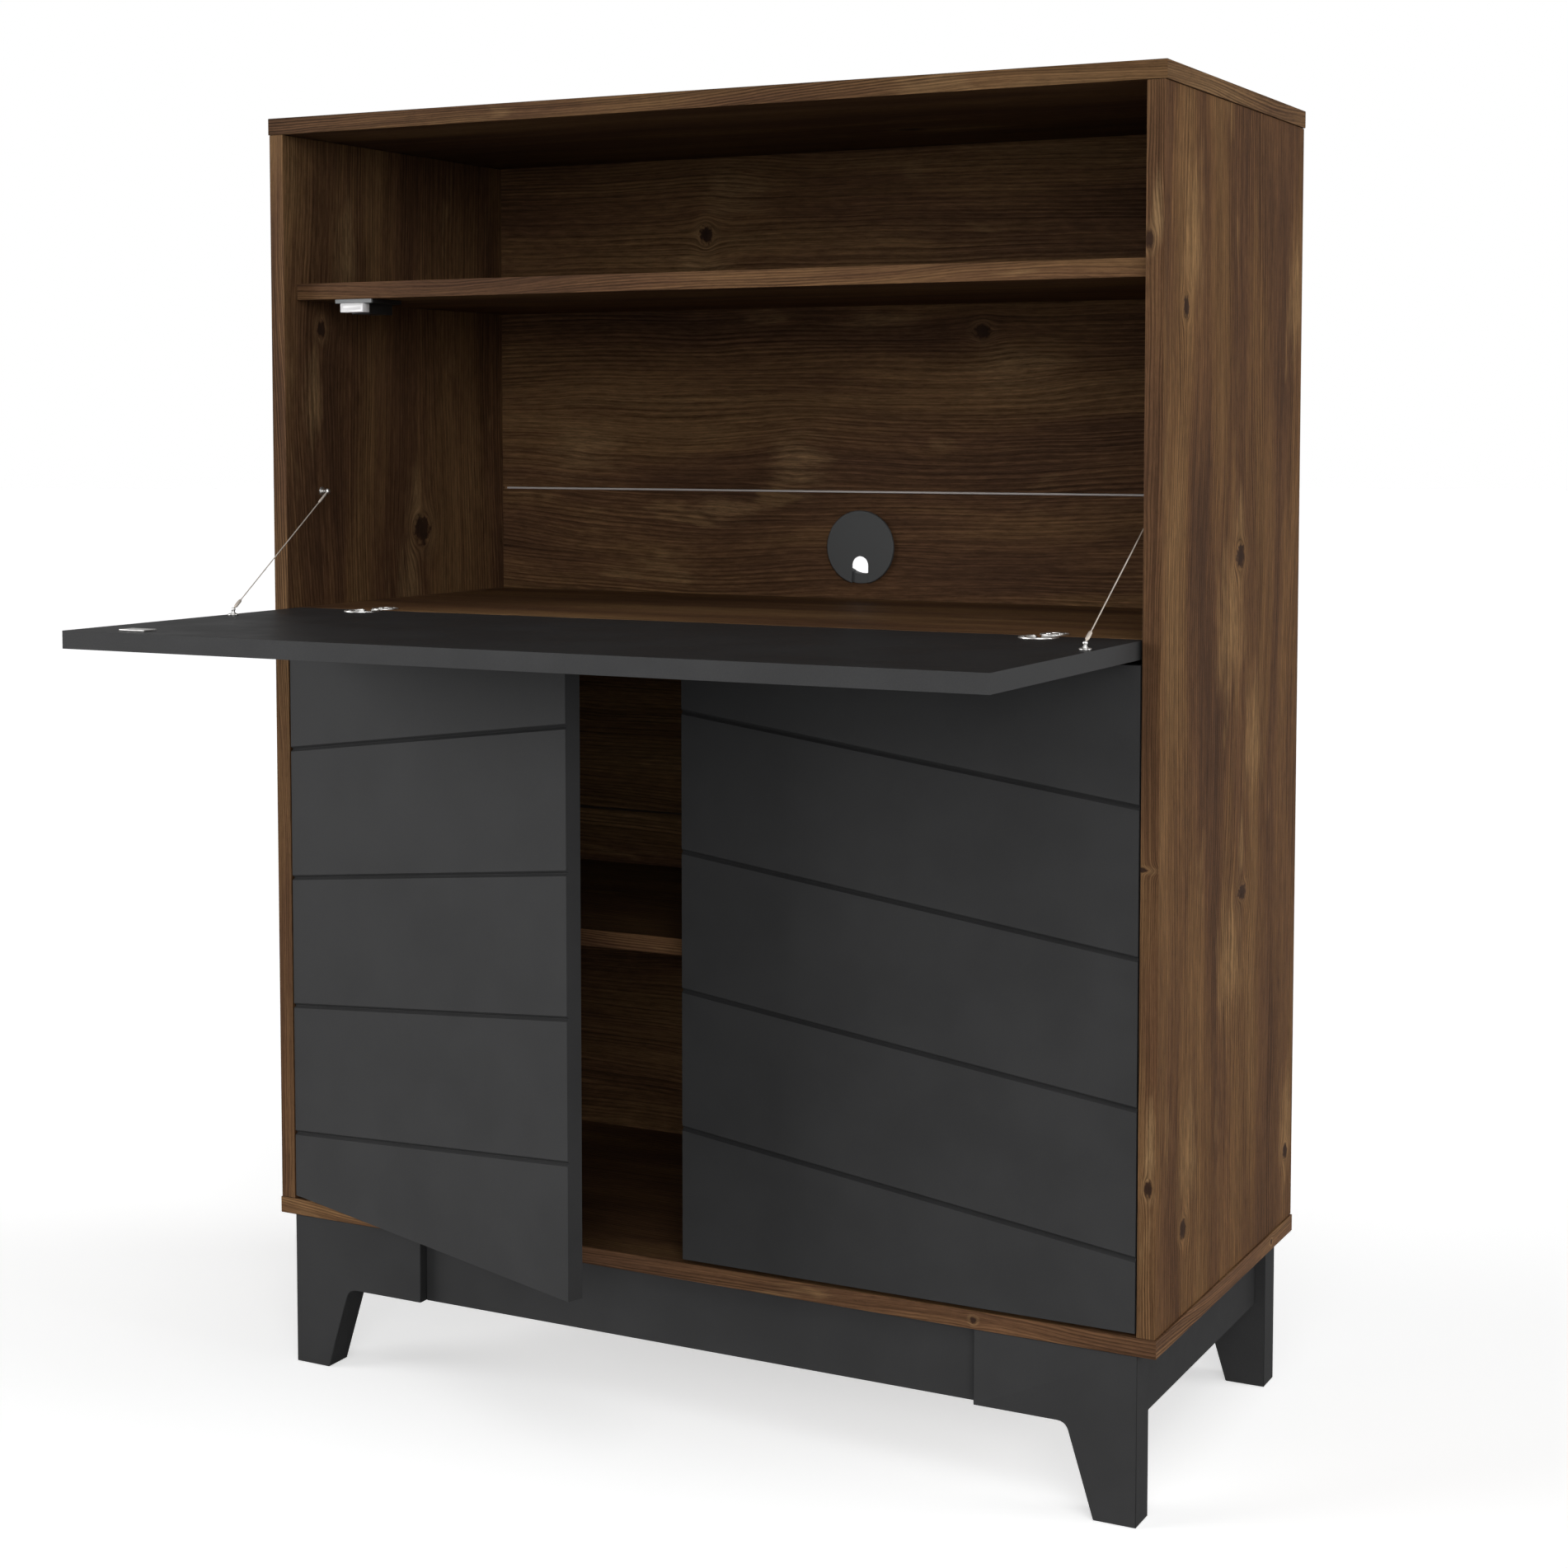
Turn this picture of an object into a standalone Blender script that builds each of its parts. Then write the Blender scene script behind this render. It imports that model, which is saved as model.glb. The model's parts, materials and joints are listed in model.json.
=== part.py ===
"""A secretary desk: a cabinet on bracket feet, with a drop-front writing flap and two doors.

Metres, +Z up. The origin is on the floor, under the centre of the desk's outline with the
flap down. X runs to the right and Y from the front to the back.
"""

import math

import bmesh
import bpy
from mathutils import Euler, Matrix, Vector

# Carcass
WIDTH = 0.920
DEPTH = 0.404
HEIGHT = 1.237
BOARD = 0.016
SIDE_OVERHANG = 0.0015
FLOOR_TO_BOTTOM = 0.150
DECK_TOP = 0.758
UPPER_SHELF_TOP = 1.077
LOWER_SHELF_TOP = 0.4595
LOWER_SHELF_SETBACK = 0.039
GAP = 0.0003

# Back
BACK_SETBACK = 0.018
BACK_THICKNESS = 0.003
GROOVE_DEPTH = 0.0063
BACK_JOINTS = (0.518, 0.8693)
STRIP_HALF_LENGTH = 0.437

# Base
LEG_THICKNESS = 0.030
LEG_OUTER_X = 0.443
LEG_FRONT_SETBACK = 0.0015
FOOT_WIDTH = 0.039
LEG_TOP_WIDTH = 0.0645
BRACKET_WIDTH = 0.1505
BRACKET_UNDERSIDE = 0.082
BRACKET_RADIUS = 0.010
APRON_SETBACK = 0.010

# Flap
FLAP_LENGTH = 0.337
FLAP_HALF_WIDTH = 0.4395
FLAP_GAP = 0.0037
FLAP_HINGE_X = 0.351

# Doors
DOOR_CENTRE_GAP = 0.002
DOOR_SIDE_GAP = 0.0015
DOOR_BOTTOM = 0.1695
DOOR_TOP = 0.7375
DOOR_GROOVE_TOP = 0.6775
DOOR_GROOVE_SPACING = 0.1283
DOOR_GROOVE_DROP = 0.0593
DOOR_GROOVES = 4
DOOR_GROOVE_WIDTH = 0.005
LEFT_DOOR_OPEN = math.radians(20)
DOOR_FULLY_OPEN = math.radians(110)
DOOR_HINGE_FROM_END = 0.095
LINK_TRAVEL = 0.0228

# Stays
STAY_SIDE_Y = 0.056
STAY_SIDE_Z = 0.114
STAY_SIDE_X = 0.435
STAY_FLAP_X = 0.4295
STAY_FLAP_Y = 0.116
STAY_POST = 0.0055
CABLE_RADIUS = 0.0009
FERRULE_RADIUS = 0.0019
FERRULE_LENGTH = 0.014

# Latches
LATCH_X = -0.375
LATCH_TRAVEL = 0.003
STRIKE_THICKNESS = 0.001

# Cable outlet
GROMMET_Z = 0.8118
GROMMET_RADIUS = 0.0385
GROMMET_HOLE = 0.030
NOTCH_HALF_WIDTH = 0.0093
NOTCH_TOP = 0.0092

# Places worked out from the values above
REAR = (FLAP_LENGTH + DEPTH - BOARD) / 2
FRONT = REAR - DEPTH
SIDE_OUTER = WIDTH / 2 - SIDE_OVERHANG
SIDE_INNER = SIDE_OUTER - BOARD
BOTTOM_TOP = FLOOR_TO_BOTTOM + BOARD
FLAP_REAR = FRONT + BOARD
SHELF_FRONT = FLAP_REAR + FLAP_GAP
BACK_FRONT = REAR - BACK_SETBACK
BACK_REAR = BACK_FRONT + BACK_THICKNESS
FLAP_AXIS_Y = FLAP_REAR - BOARD / 2
FLAP_AXIS_Z = DECK_TOP - BOARD / 2
DOOR_WIDTH = SIDE_INNER - DOOR_SIDE_GAP - DOOR_CENTRE_GAP
DOOR_AXIS_X = SIDE_INNER - DOOR_SIDE_GAP
DOOR_HINGE_HEIGHTS = (DOOR_BOTTOM + DOOR_HINGE_FROM_END, DOOR_TOP - DOOR_HINGE_FROM_END)
SIDES = (("left", -1), ("right", 1))

WOOD = ("walnut_laminate", (0.105, 0.058, 0.029), 0.55, 0.0)
BLACK = ("black_laminate", (0.034, 0.034, 0.035), 0.6, 0.0)
BACK_BOARD = ("back_board", (0.085, 0.047, 0.024), 0.6, 0.0)
STEEL = ("nickel_steel", (0.72, 0.71, 0.69), 0.28, 1.0)
GREY_PLASTIC = ("grey_plastic", (0.18, 0.18, 0.18), 0.5, 0.0)
WHITE_PLASTIC = ("white_plastic", (0.78, 0.77, 0.76), 0.4, 0.0)
DARK_PLASTIC = ("dark_plastic", (0.045, 0.047, 0.047), 0.45, 0.0)


def clear_scene():
    for old in list(bpy.data.objects):
        bpy.data.objects.remove(old)


def new_collection(name):
    collection = bpy.data.collections.new(name)
    bpy.context.scene.collection.children.link(collection)
    return collection


def material(finish):
    name, colour, roughness, metallic = finish
    found = bpy.data.materials.get(name)
    if found:
        return found
    made = bpy.data.materials.new(name)
    made.use_nodes = True
    shader = made.node_tree.nodes["Principled BSDF"]
    shader.inputs["Base Color"].default_value = (*colour, 1)
    shader.inputs["Roughness"].default_value = roughness
    shader.inputs["Metallic"].default_value = metallic
    made.diffuse_color = (*colour, 1)
    return made


clear_scene()
DESK = new_collection("secretary_desk")
CUTTERS = new_collection("cutters")


def add_part(name, mesh, finish, location=(0, 0, 0), parent=None, rotation=(0, 0, 0)):
    """Puts a mesh or a curve in the desk. The location is measured from the parent."""
    part = bpy.data.objects.new(name, mesh)
    mesh.materials.append(material(finish))
    DESK.objects.link(part)
    part.location = location
    part.rotation_euler = rotation
    part.parent = parent
    return part


def axis_empty(name, location, turn=0.0):
    """An empty on a joint's axis, turned about Z to its rest position."""
    empty = bpy.data.objects.new(name, None)
    DESK.objects.link(empty)
    empty.location = location
    empty.rotation_euler = (0, 0, turn)
    empty.empty_display_size = 0.03
    return empty


def box_mesh(name, size):
    shape = bmesh.new()
    bmesh.ops.create_cube(shape, size=1)
    bmesh.ops.scale(shape, vec=size, verts=shape.verts)
    mesh = bpy.data.meshes.new(name)
    shape.to_mesh(mesh)
    shape.free()
    return mesh


def cylinder_mesh(name, radius, length, axis="Z", segments=32):
    """A round bar about its own centre, along the named axis."""
    shape = bmesh.new()
    bmesh.ops.create_cone(
        shape, cap_ends=True, segments=segments, radius1=radius, radius2=radius, depth=length
    )
    turn = {"X": Euler((0, math.pi / 2, 0)), "Y": Euler((-math.pi / 2, 0, 0)), "Z": Euler((0, 0, 0))}
    bmesh.ops.rotate(shape, verts=shape.verts, matrix=turn[axis].to_matrix())
    mesh = bpy.data.meshes.new(name)
    shape.to_mesh(mesh)
    shape.free()
    mesh.shade_smooth()
    mesh.set_sharp_from_angle(angle=math.radians(40))
    return mesh


def box(name, low, high, finish, parent=None):
    """A square block between two corners, measured from the parent."""
    low = Vector(low)
    high = Vector(high)
    return add_part(name, box_mesh(name, high - low), finish, (low + high) / 2, parent)


def bar(name, centre, radius, length, axis, finish, parent=None, segments=32):
    mesh = cylinder_mesh(name, radius, length, axis, segments)
    return add_part(name, mesh, finish, centre, parent)


def hide_cutter(cutter):
    DESK.objects.unlink(cutter)
    CUTTERS.objects.link(cutter)
    cutter.hide_render = True
    cutter.display_type = "WIRE"
    return cutter


def combine(part, other, operation):
    modifier = part.modifiers.new(other.name, "BOOLEAN")
    modifier.operation = operation
    modifier.object = other
    modifier.solver = "EXACT"


def cut(part, cutter):
    combine(part, hide_cutter(cutter), "DIFFERENCE")


def join(part, other):
    combine(part, hide_cutter(other), "UNION")


def turned(name, profile, finish, location, axis="Z", parent=None, steps=32):
    """A turned piece. The profile is (radius, height) from the top of the outer side downwards."""
    mesh = bpy.data.meshes.new(name)
    points = [(radius, 0, height) for radius, height in profile]
    on_axis = profile[0][0] == 0
    edges = [(i, i + 1) for i in range(len(points) - 1)]
    if not on_axis:
        edges.append((len(points) - 1, 0))
    mesh.from_pydata(points, edges, [])
    rotation = {"Y": (-math.pi / 2, 0, 0), "Z": (0, 0, 0)}[axis]
    part = add_part(name, mesh, finish, location, parent, rotation)
    screw = part.modifiers.new("turn", "SCREW")
    screw.steps = steps
    screw.render_steps = steps
    screw.use_merge_vertices = True
    screw.merge_threshold = 0.00005
    return part


def arc(centre, radius, start, end, steps):
    """Points along an arc, in degrees."""
    angles = [math.radians(start + (end - start) * i / steps) for i in range(steps + 1)]
    return [(centre[0] + radius * math.cos(a), centre[1] + radius * math.sin(a)) for a in angles]


def outline_mesh(name, points, thickness):
    """A flat outline in XY, given a thickness along Z, as a closed mesh."""
    curve = bpy.data.curves.new(name, "CURVE")
    curve.dimensions = "2D"
    curve.fill_mode = "BOTH"
    curve.extrude = thickness / 2
    spline = curve.splines.new("POLY")
    spline.points.add(len(points) - 1)
    for point, (x, y) in zip(spline.points, points):
        point.co = (x, y, 0, 1)
    spline.use_cyclic_u = True
    guide = bpy.data.objects.new(name + "_outline", curve)
    bpy.context.scene.collection.objects.link(guide)
    graph = bpy.context.evaluated_depsgraph_get()
    mesh = bpy.data.meshes.new_from_object(guide.evaluated_get(graph))
    bpy.data.objects.remove(guide)
    shape = bmesh.new()
    shape.from_mesh(mesh)
    bmesh.ops.remove_doubles(shape, verts=shape.verts, dist=0.00001)
    bmesh.ops.recalc_face_normals(shape, faces=shape.faces)
    shape.to_mesh(mesh)
    shape.free()
    return mesh


def build_carcass():
    shelf_end = SIDE_INNER - GAP
    boards = {
        "top_panel": ((-WIDTH / 2, FRONT, HEIGHT - BOARD), (WIDTH / 2, REAR, HEIGHT)),
        "bottom_panel": ((-WIDTH / 2, FRONT, FLOOR_TO_BOTTOM), (WIDTH / 2, REAR, BOTTOM_TOP)),
        "desk_deck": (
            (-shelf_end, SHELF_FRONT, DECK_TOP - BOARD),
            (shelf_end, BACK_FRONT - GAP, DECK_TOP),
        ),
        "upper_shelf": (
            (-shelf_end, SHELF_FRONT, UPPER_SHELF_TOP - BOARD),
            (shelf_end, BACK_FRONT - GAP, UPPER_SHELF_TOP),
        ),
        "lower_shelf": (
            (-shelf_end, FRONT + LOWER_SHELF_SETBACK, LOWER_SHELF_TOP - BOARD),
            (shelf_end, BACK_FRONT - GAP, LOWER_SHELF_TOP),
        ),
    }
    for side, sign in SIDES:
        ends = sorted((sign * SIDE_INNER, sign * SIDE_OUTER))
        boards["side_panel_" + side] = (
            (ends[0], FRONT, BOTTOM_TOP + GAP),
            (ends[1], REAR, HEIGHT - BOARD - GAP),
        )
    parts = {name: box(name, low, high, WOOD) for name, (low, high) in boards.items()}

    # One frame-shaped groove holds the back's edges.
    reach = SIDE_INNER + GROOVE_DEPTH
    for name in ("top_panel", "bottom_panel", "side_panel_left", "side_panel_right"):
        groove = box(
            "back_groove_" + name,
            (-reach, BACK_FRONT - GAP, BOTTOM_TOP - GROOVE_DEPTH),
            (reach, BACK_REAR + GAP, HEIGHT - BOARD + GROOVE_DEPTH),
            WOOD,
        )
        cut(parts[name], groove)
    return parts


def build_back():
    reach = SIDE_INNER + GROOVE_DEPTH - GAP
    web = 0.0009
    ends = [BOTTOM_TOP - GROOVE_DEPTH + GAP]
    for joint in BACK_JOINTS:
        ends += [joint - web - GAP, joint + web + GAP]
    ends.append(HEIGHT - BOARD + GROOVE_DEPTH - GAP)
    panels = {}
    for i, name in enumerate(("back_panel_lower", "back_panel_middle", "back_panel_upper")):
        panels[name] = box(
            name, (-reach, BACK_FRONT, ends[2 * i]), (reach, BACK_REAR, ends[2 * i + 1]), BACK_BOARD
        )

    # Each joint is held by a T-shaped strip, whose web shows as a thin line from the front.
    front = BACK_FRONT - 0.0004
    flange = BACK_REAR + GAP
    rear = flange + 0.001
    flange_half = 0.007
    section = [(front, -web), (flange, -web), (flange, -flange_half), (rear, -flange_half)]
    section += [(y, -z) for y, z in reversed(section)]
    for name, z in zip(("back_joint_strip_lower", "back_joint_strip_upper"), BACK_JOINTS):
        mesh = outline_mesh(name, section, 2 * STRIP_HALF_LENGTH)
        mesh.transform(Matrix(((0, 0, 1), (1, 0, 0), (0, 1, 0))).to_4x4())
        add_part(name, mesh, STEEL, (0, 0, z))
    return panels


def build_grommet(panel):
    centre = Vector((0, BACK_FRONT, GROMMET_Z))
    hole = bar("grommet_hole", centre, GROMMET_HOLE, 0.02, "Y", WOOD)
    cut(panel, hole)

    flange = GROMMET_RADIUS - 0.001
    sleeve = GROMMET_HOLE - GAP
    bore = GROMMET_HOLE - 0.0025
    flange_front = -0.0018
    sleeve_rear = 0.012
    # Turned about Y, a profile's height runs towards the back.
    ring = [
        (sleeve, sleeve_rear), (sleeve, -GAP), (flange, -GAP), (flange, flange_front),
        (bore, flange_front), (bore, sleeve_rear),
    ]
    turned("grommet_ring", ring, DARK_PLASTIC, centre, "Y", steps=40)

    spigot = bore - GAP
    cap_rear = flange_front - GAP
    cap_front = cap_rear - 0.0022
    spigot_rear = 0.006
    spigot_bore = spigot - 0.0016
    bevel = 0.0008
    cap = [
        (0, cap_rear), (spigot_bore, cap_rear), (spigot_bore, spigot_rear), (spigot, spigot_rear),
        (spigot, cap_rear), (GROMMET_RADIUS, cap_rear), (GROMMET_RADIUS, cap_front + bevel),
        (GROMMET_RADIUS - bevel, cap_front), (0, cap_front),
    ]
    cap = turned("grommet_cap", cap, DARK_PLASTIC, centre, "Y", steps=40)

    # The notch is an arch, open at the cap's lower edge.
    arch_centre = -NOTCH_TOP - NOTCH_HALF_WIDTH
    arch = arc((0, arch_centre), NOTCH_HALF_WIDTH, 0, 180, 12)
    below = -GROMMET_RADIUS - 0.01
    notch = outline_mesh(
        "cable_notch", arch + [(-NOTCH_HALF_WIDTH, below), (NOTCH_HALF_WIDTH, below)], 0.04
    )
    notch = add_part("cable_notch", notch, DARK_PLASTIC, centre, None, (math.pi / 2, 0, 0))
    cut(cap, notch)


def leg_outline():
    """The front view of a right-hand bracket foot, with its outer edge at X = 0."""
    run = LEG_TOP_WIDTH - FOOT_WIDTH
    rise = BRACKET_UNDERSIDE
    slant = math.degrees(math.atan2(rise, -run))
    corner = math.radians(slant) / 2
    reach = BRACKET_RADIUS / math.tan(corner)
    fillet = (-LEG_TOP_WIDTH - reach, rise - BRACKET_RADIUS)
    top = FLOOR_TO_BOTTOM - GAP
    points = [(0, 0), (0, top), (-BRACKET_WIDTH, top), (-BRACKET_WIDTH, rise)]
    points += arc(fillet, BRACKET_RADIUS, 90, slant - 90, 5)
    points.append((-FOOT_WIDTH, 0))
    return points


def build_base():
    outline = leg_outline()
    front = FRONT + LEG_FRONT_SETBACK
    rear = REAR - LEG_FRONT_SETBACK
    for end, y in (("front", front + LEG_THICKNESS / 2), ("rear", rear - LEG_THICKNESS / 2)):
        for side, sign in SIDES:
            name = f"leg_{end}_{side}"
            mesh = outline_mesh(name, [(sign * x, z) for x, z in outline], LEG_THICKNESS)
            leg = add_part(name, mesh, BLACK, (sign * LEG_OUTER_X, y, 0), None, (math.pi / 2, 0, 0))
            soft = leg.modifiers.new("soft_edges", "BEVEL")
            soft.width = 0.0015
            soft.segments = 1
            soft.limit_method = "ANGLE"

    top = FLOOR_TO_BOTTOM - GAP
    apron_end = LEG_OUTER_X - BRACKET_WIDTH - GAP
    for name, y in (
        ("apron_front", front + APRON_SETBACK),
        ("apron_rear", rear - APRON_SETBACK - BOARD),
    ):
        box(name, (-apron_end, y, BRACKET_UNDERSIDE), (apron_end, y + BOARD, top), BLACK)
    for side, sign in SIDES:
        ends = sorted((sign * (LEG_OUTER_X - APRON_SETBACK), sign * (LEG_OUTER_X - APRON_SETBACK - BOARD)))
        low = (ends[0], front + LEG_THICKNESS + GAP, BRACKET_UNDERSIDE)
        high = (ends[1], rear - LEG_THICKNESS - GAP, top)
        box("apron_" + side, low, high, BLACK)


def build_flap():
    axis = axis_empty("flap_axis", (0, FLAP_AXIS_Y, FLAP_AXIS_Z))
    rear = FLAP_REAR - FLAP_AXIS_Y
    low = (-FLAP_HALF_WIDTH, rear - FLAP_LENGTH, -BOARD / 2)
    high = (FLAP_HALF_WIDTH, rear, BOARD / 2)
    flap = box("flap", low, high, BLACK, axis)
    strike_half = 0.014
    strike_depth = 0.017
    closed_top = UPPER_SHELF_TOP - BOARD - 0.0035
    closed_foot = DECK_TOP - BOARD
    strike_far = rear - (closed_top - closed_foot)
    strike_x = LATCH_X - 0.005
    surface = BOARD / 2 + GAP
    box(
        "flap_strike_plate",
        (strike_x - strike_half, strike_far, surface),
        (strike_x + strike_half, strike_far + strike_depth, surface + STRIKE_THICKNESS),
        STEEL,
        axis,
    )
    return flap, axis


def build_flap_hinge(side, sign, flap, axis, deck):
    """A round cup in the flap and a round plate in the deck, joined by an arm on a pin."""
    x = sign * FLAP_HINGE_X
    cup_radius = 0.0175
    wall = 0.0015
    cup_floor = -0.0045
    cup_y = FLAP_REAR - FLAP_AXIS_Y - cup_radius - 0.001
    surface = BOARD / 2
    slot_half = 0.0085
    pin_radius = 0.00125
    clearance = 0.0001

    cup_profile = [
        (0, cup_floor + 0.001), (cup_radius - wall, cup_floor + 0.001),
        (cup_radius - wall, surface + 0.0005), (cup_radius, surface + 0.0005),
        (cup_radius, cup_floor), (0, cup_floor),
    ]
    cup = turned("flap_hinge_cup_" + side, cup_profile, STEEL, (x, cup_y, 0), "Z", axis)
    slot_low = (x - slot_half, -0.006, cup_floor + 0.001)
    slot_high = (x + slot_half, 0.02, 0.02)
    cut(cup, box("cup_slot_" + side, slot_low, slot_high, STEEL, axis))
    pin_hole = pin_radius + clearance
    cut(cup, bar("cup_pin_hole_" + side, (x, 0, 0), pin_hole, 0.05, "X", STEEL, axis, 16))

    pocket = bar(
        "flap_pocket_" + side, (x, cup_y, 0.0055), cup_radius + GAP, 0.0206, "Z", BLACK, axis, 48
    )
    cut(flap, pocket)
    flap_slot = ((x - slot_half, -0.006, cup_floor - GAP), (x + slot_half, 0.02, 0.02))
    cut(flap, box("flap_slot_" + side, *flap_slot, BLACK, axis))

    bar("flap_hinge_pin_" + side, (x, 0, 0), pin_radius, 0.0262, "X", STEEL, axis, 16)

    plate_radius = 0.013
    plate_y = SHELF_FRONT + 0.0155
    plate_depth = 0.0085
    arm_half = 0.0065
    eye = 0.0032
    plate = bar(
        "flap_hinge_arm_" + side,
        (x, plate_y, DECK_TOP - plate_depth / 2 + 0.0004),
        plate_radius,
        plate_depth,
        "Z",
        STEEL,
    )
    arm_bottom = FLAP_AXIS_Z - 0.0025
    tongue = box(
        "arm_tongue_" + side,
        (x - arm_half, FLAP_AXIS_Y, arm_bottom),
        (x + arm_half, plate_y, FLAP_AXIS_Z + 0.003),
        STEEL,
    )
    join(plate, tongue)
    shoulder_low = (x - arm_half, SHELF_FRONT + 0.0006, arm_bottom)
    shoulder = box("arm_shoulder_" + side, shoulder_low, (x + arm_half, plate_y, DECK_TOP), STEEL)
    join(plate, shoulder)
    eye_centre = (x, FLAP_AXIS_Y, FLAP_AXIS_Z)
    join(plate, bar("arm_eye_" + side, eye_centre, eye, 2 * arm_half, "X", STEEL, None, 24))
    cut(plate, bar("arm_pin_hole_" + side, eye_centre, pin_hole, 0.05, "X", STEEL, None, 16))

    pocket_depth = 0.0196
    pocket = bar(
        "deck_pocket_" + side,
        (x, plate_y, DECK_TOP - plate_depth + pocket_depth / 2),
        plate_radius + GAP,
        pocket_depth,
        "Z",
        WOOD,
    )
    cut(deck, pocket)
    deck_slot_low = (x - arm_half - GAP, SHELF_FRONT - 0.01, arm_bottom - GAP)
    deck_slot_high = (x + arm_half + GAP, plate_y, DECK_TOP + 0.01)
    cut(deck, box("deck_slot_" + side, deck_slot_low, deck_slot_high, WOOD))


def build_stay(side, sign, axis):
    """A steel cable from a post on the side panel to a post on the flap."""
    side_point = Vector((sign * STAY_SIDE_X, FRONT + STAY_SIDE_Y, DECK_TOP + STAY_SIDE_Z))
    post_length = SIDE_INNER - GAP - STAY_SIDE_X + 0.0035
    post_x = sign * (SIDE_INNER - GAP - post_length / 2)
    post_centre = (post_x, side_point.y, side_point.z)
    bar("stay_side_post_" + side, post_centre, 0.0028, post_length, "X", STEEL, None, 20)

    flap_point = Vector((sign * STAY_FLAP_X, FLAP_REAR - STAY_FLAP_Y, DECK_TOP + STAY_POST))
    foot = (flap_point.x, flap_point.y - FLAP_AXIS_Y, BOARD / 2)
    head = STAY_POST + 0.0015
    post = [
        (0, head), (0.0026, head), (0.0026, head - 0.001), (0.0018, head - 0.0012),
        (0.0018, 0.0022), (0.0055, 0.0016), (0.0055, GAP), (0, GAP),
    ]
    turned("stay_flap_post_" + side, post, STEEL, foot, "Z", axis, 20)

    way = side_point - flap_point
    end_gap = 0.0036
    length = way.length - 2 * end_gap
    cable = [
        (0, length), (FERRULE_RADIUS, length), (FERRULE_RADIUS, length - FERRULE_LENGTH),
        (CABLE_RADIUS, length - FERRULE_LENGTH), (CABLE_RADIUS, FERRULE_LENGTH),
        (FERRULE_RADIUS, FERRULE_LENGTH), (FERRULE_RADIUS, 0), (0, 0),
    ]
    start = flap_point + way.normalized() * end_gap
    cable = turned("stay_cable_" + side, cable, STEEL, start, "Z", None, 10)
    cable.rotation_euler = way.to_track_quat("Z", "Y").to_euler()


def build_latch(name, x, top, finish):
    """A push latch under a board: a housing, and a sprung magnet block that travels into it."""
    plate_half = 0.0215
    block_half = 0.0135
    plate_thickness = 0.0042
    block_front = FLAP_REAR + GAP + STRIKE_THICKNESS + GAP
    block_depth = 0.011
    plate_front = SHELF_FRONT + 0.0008
    body_front = block_front + block_depth + LATCH_TRAVEL + 0.001
    rear = body_front + 0.038
    plate_bottom = top - plate_thickness
    block_bottom = plate_bottom - GAP - 0.0087
    low = (x - plate_half, plate_front, plate_bottom)
    housing = box(name + "_housing", low, (x + plate_half, rear, top - GAP), finish)
    body_half = 0.0105
    body_low = (x - body_half, body_front, block_bottom - 0.001)
    join(housing, box(name + "_body", body_low, (x + body_half, rear, plate_bottom + 0.001), finish))
    height = (plate_bottom - GAP + block_bottom) / 2
    stem_radius = 0.0022
    bore = bar(
        name + "_bore", (x, body_front, height), stem_radius + GAP, 0.044, "Y", finish, None, 16
    )
    cut(housing, bore)

    block = box(
        name + "_magnet",
        (x - block_half, block_front, block_bottom),
        (x + block_half, block_front + block_depth, plate_bottom - GAP),
        WHITE_PLASTIC,
    )
    stem_length = 0.018
    stem_centre = (x, block_front + block_depth + stem_length / 2 - 0.002, height)
    join(block, bar(name + "_stem", stem_centre, stem_radius, stem_length, "Y", STEEL, None, 16))


def build_door_latches():
    """Under the deck, one latch housing with a magnet block for each door."""
    top = DECK_TOP - BOARD
    block_half = 0.008
    spread = 0.016
    block_front = FLAP_REAR + GAP + STRIKE_THICKNESS + GAP
    block_depth = 0.010
    body_front = block_front + block_depth + LATCH_TRAVEL + 0.001
    half_width = 0.030
    bottom = top - 0.018
    height = top - 0.010
    low = (-half_width, body_front, bottom)
    housing = box("door_latch_housing", low, (half_width, body_front + 0.036, top - GAP), GREY_PLASTIC)
    for side, sign in SIDES:
        x = sign * spread
        stem_radius = 0.0022
        bore_centre = (x, body_front, height)
        bore = bar("latch_bore_" + side, bore_centre, stem_radius + GAP, 0.044, "Y", STEEL, None, 16)
        cut(housing, bore)
        block = box(
            "door_latch_magnet_" + side,
            (x - block_half, block_front, height - 0.0045),
            (x + block_half, block_front + block_depth, height + 0.0045),
            WHITE_PLASTIC,
        )
        stem_length = 0.018
        stem_centre = (x, block_front + block_depth + stem_length / 2 - 0.002, height)
        join(block, bar("latch_stem_" + side, stem_centre, stem_radius, stem_length, "Y", STEEL, None, 16))


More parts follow.
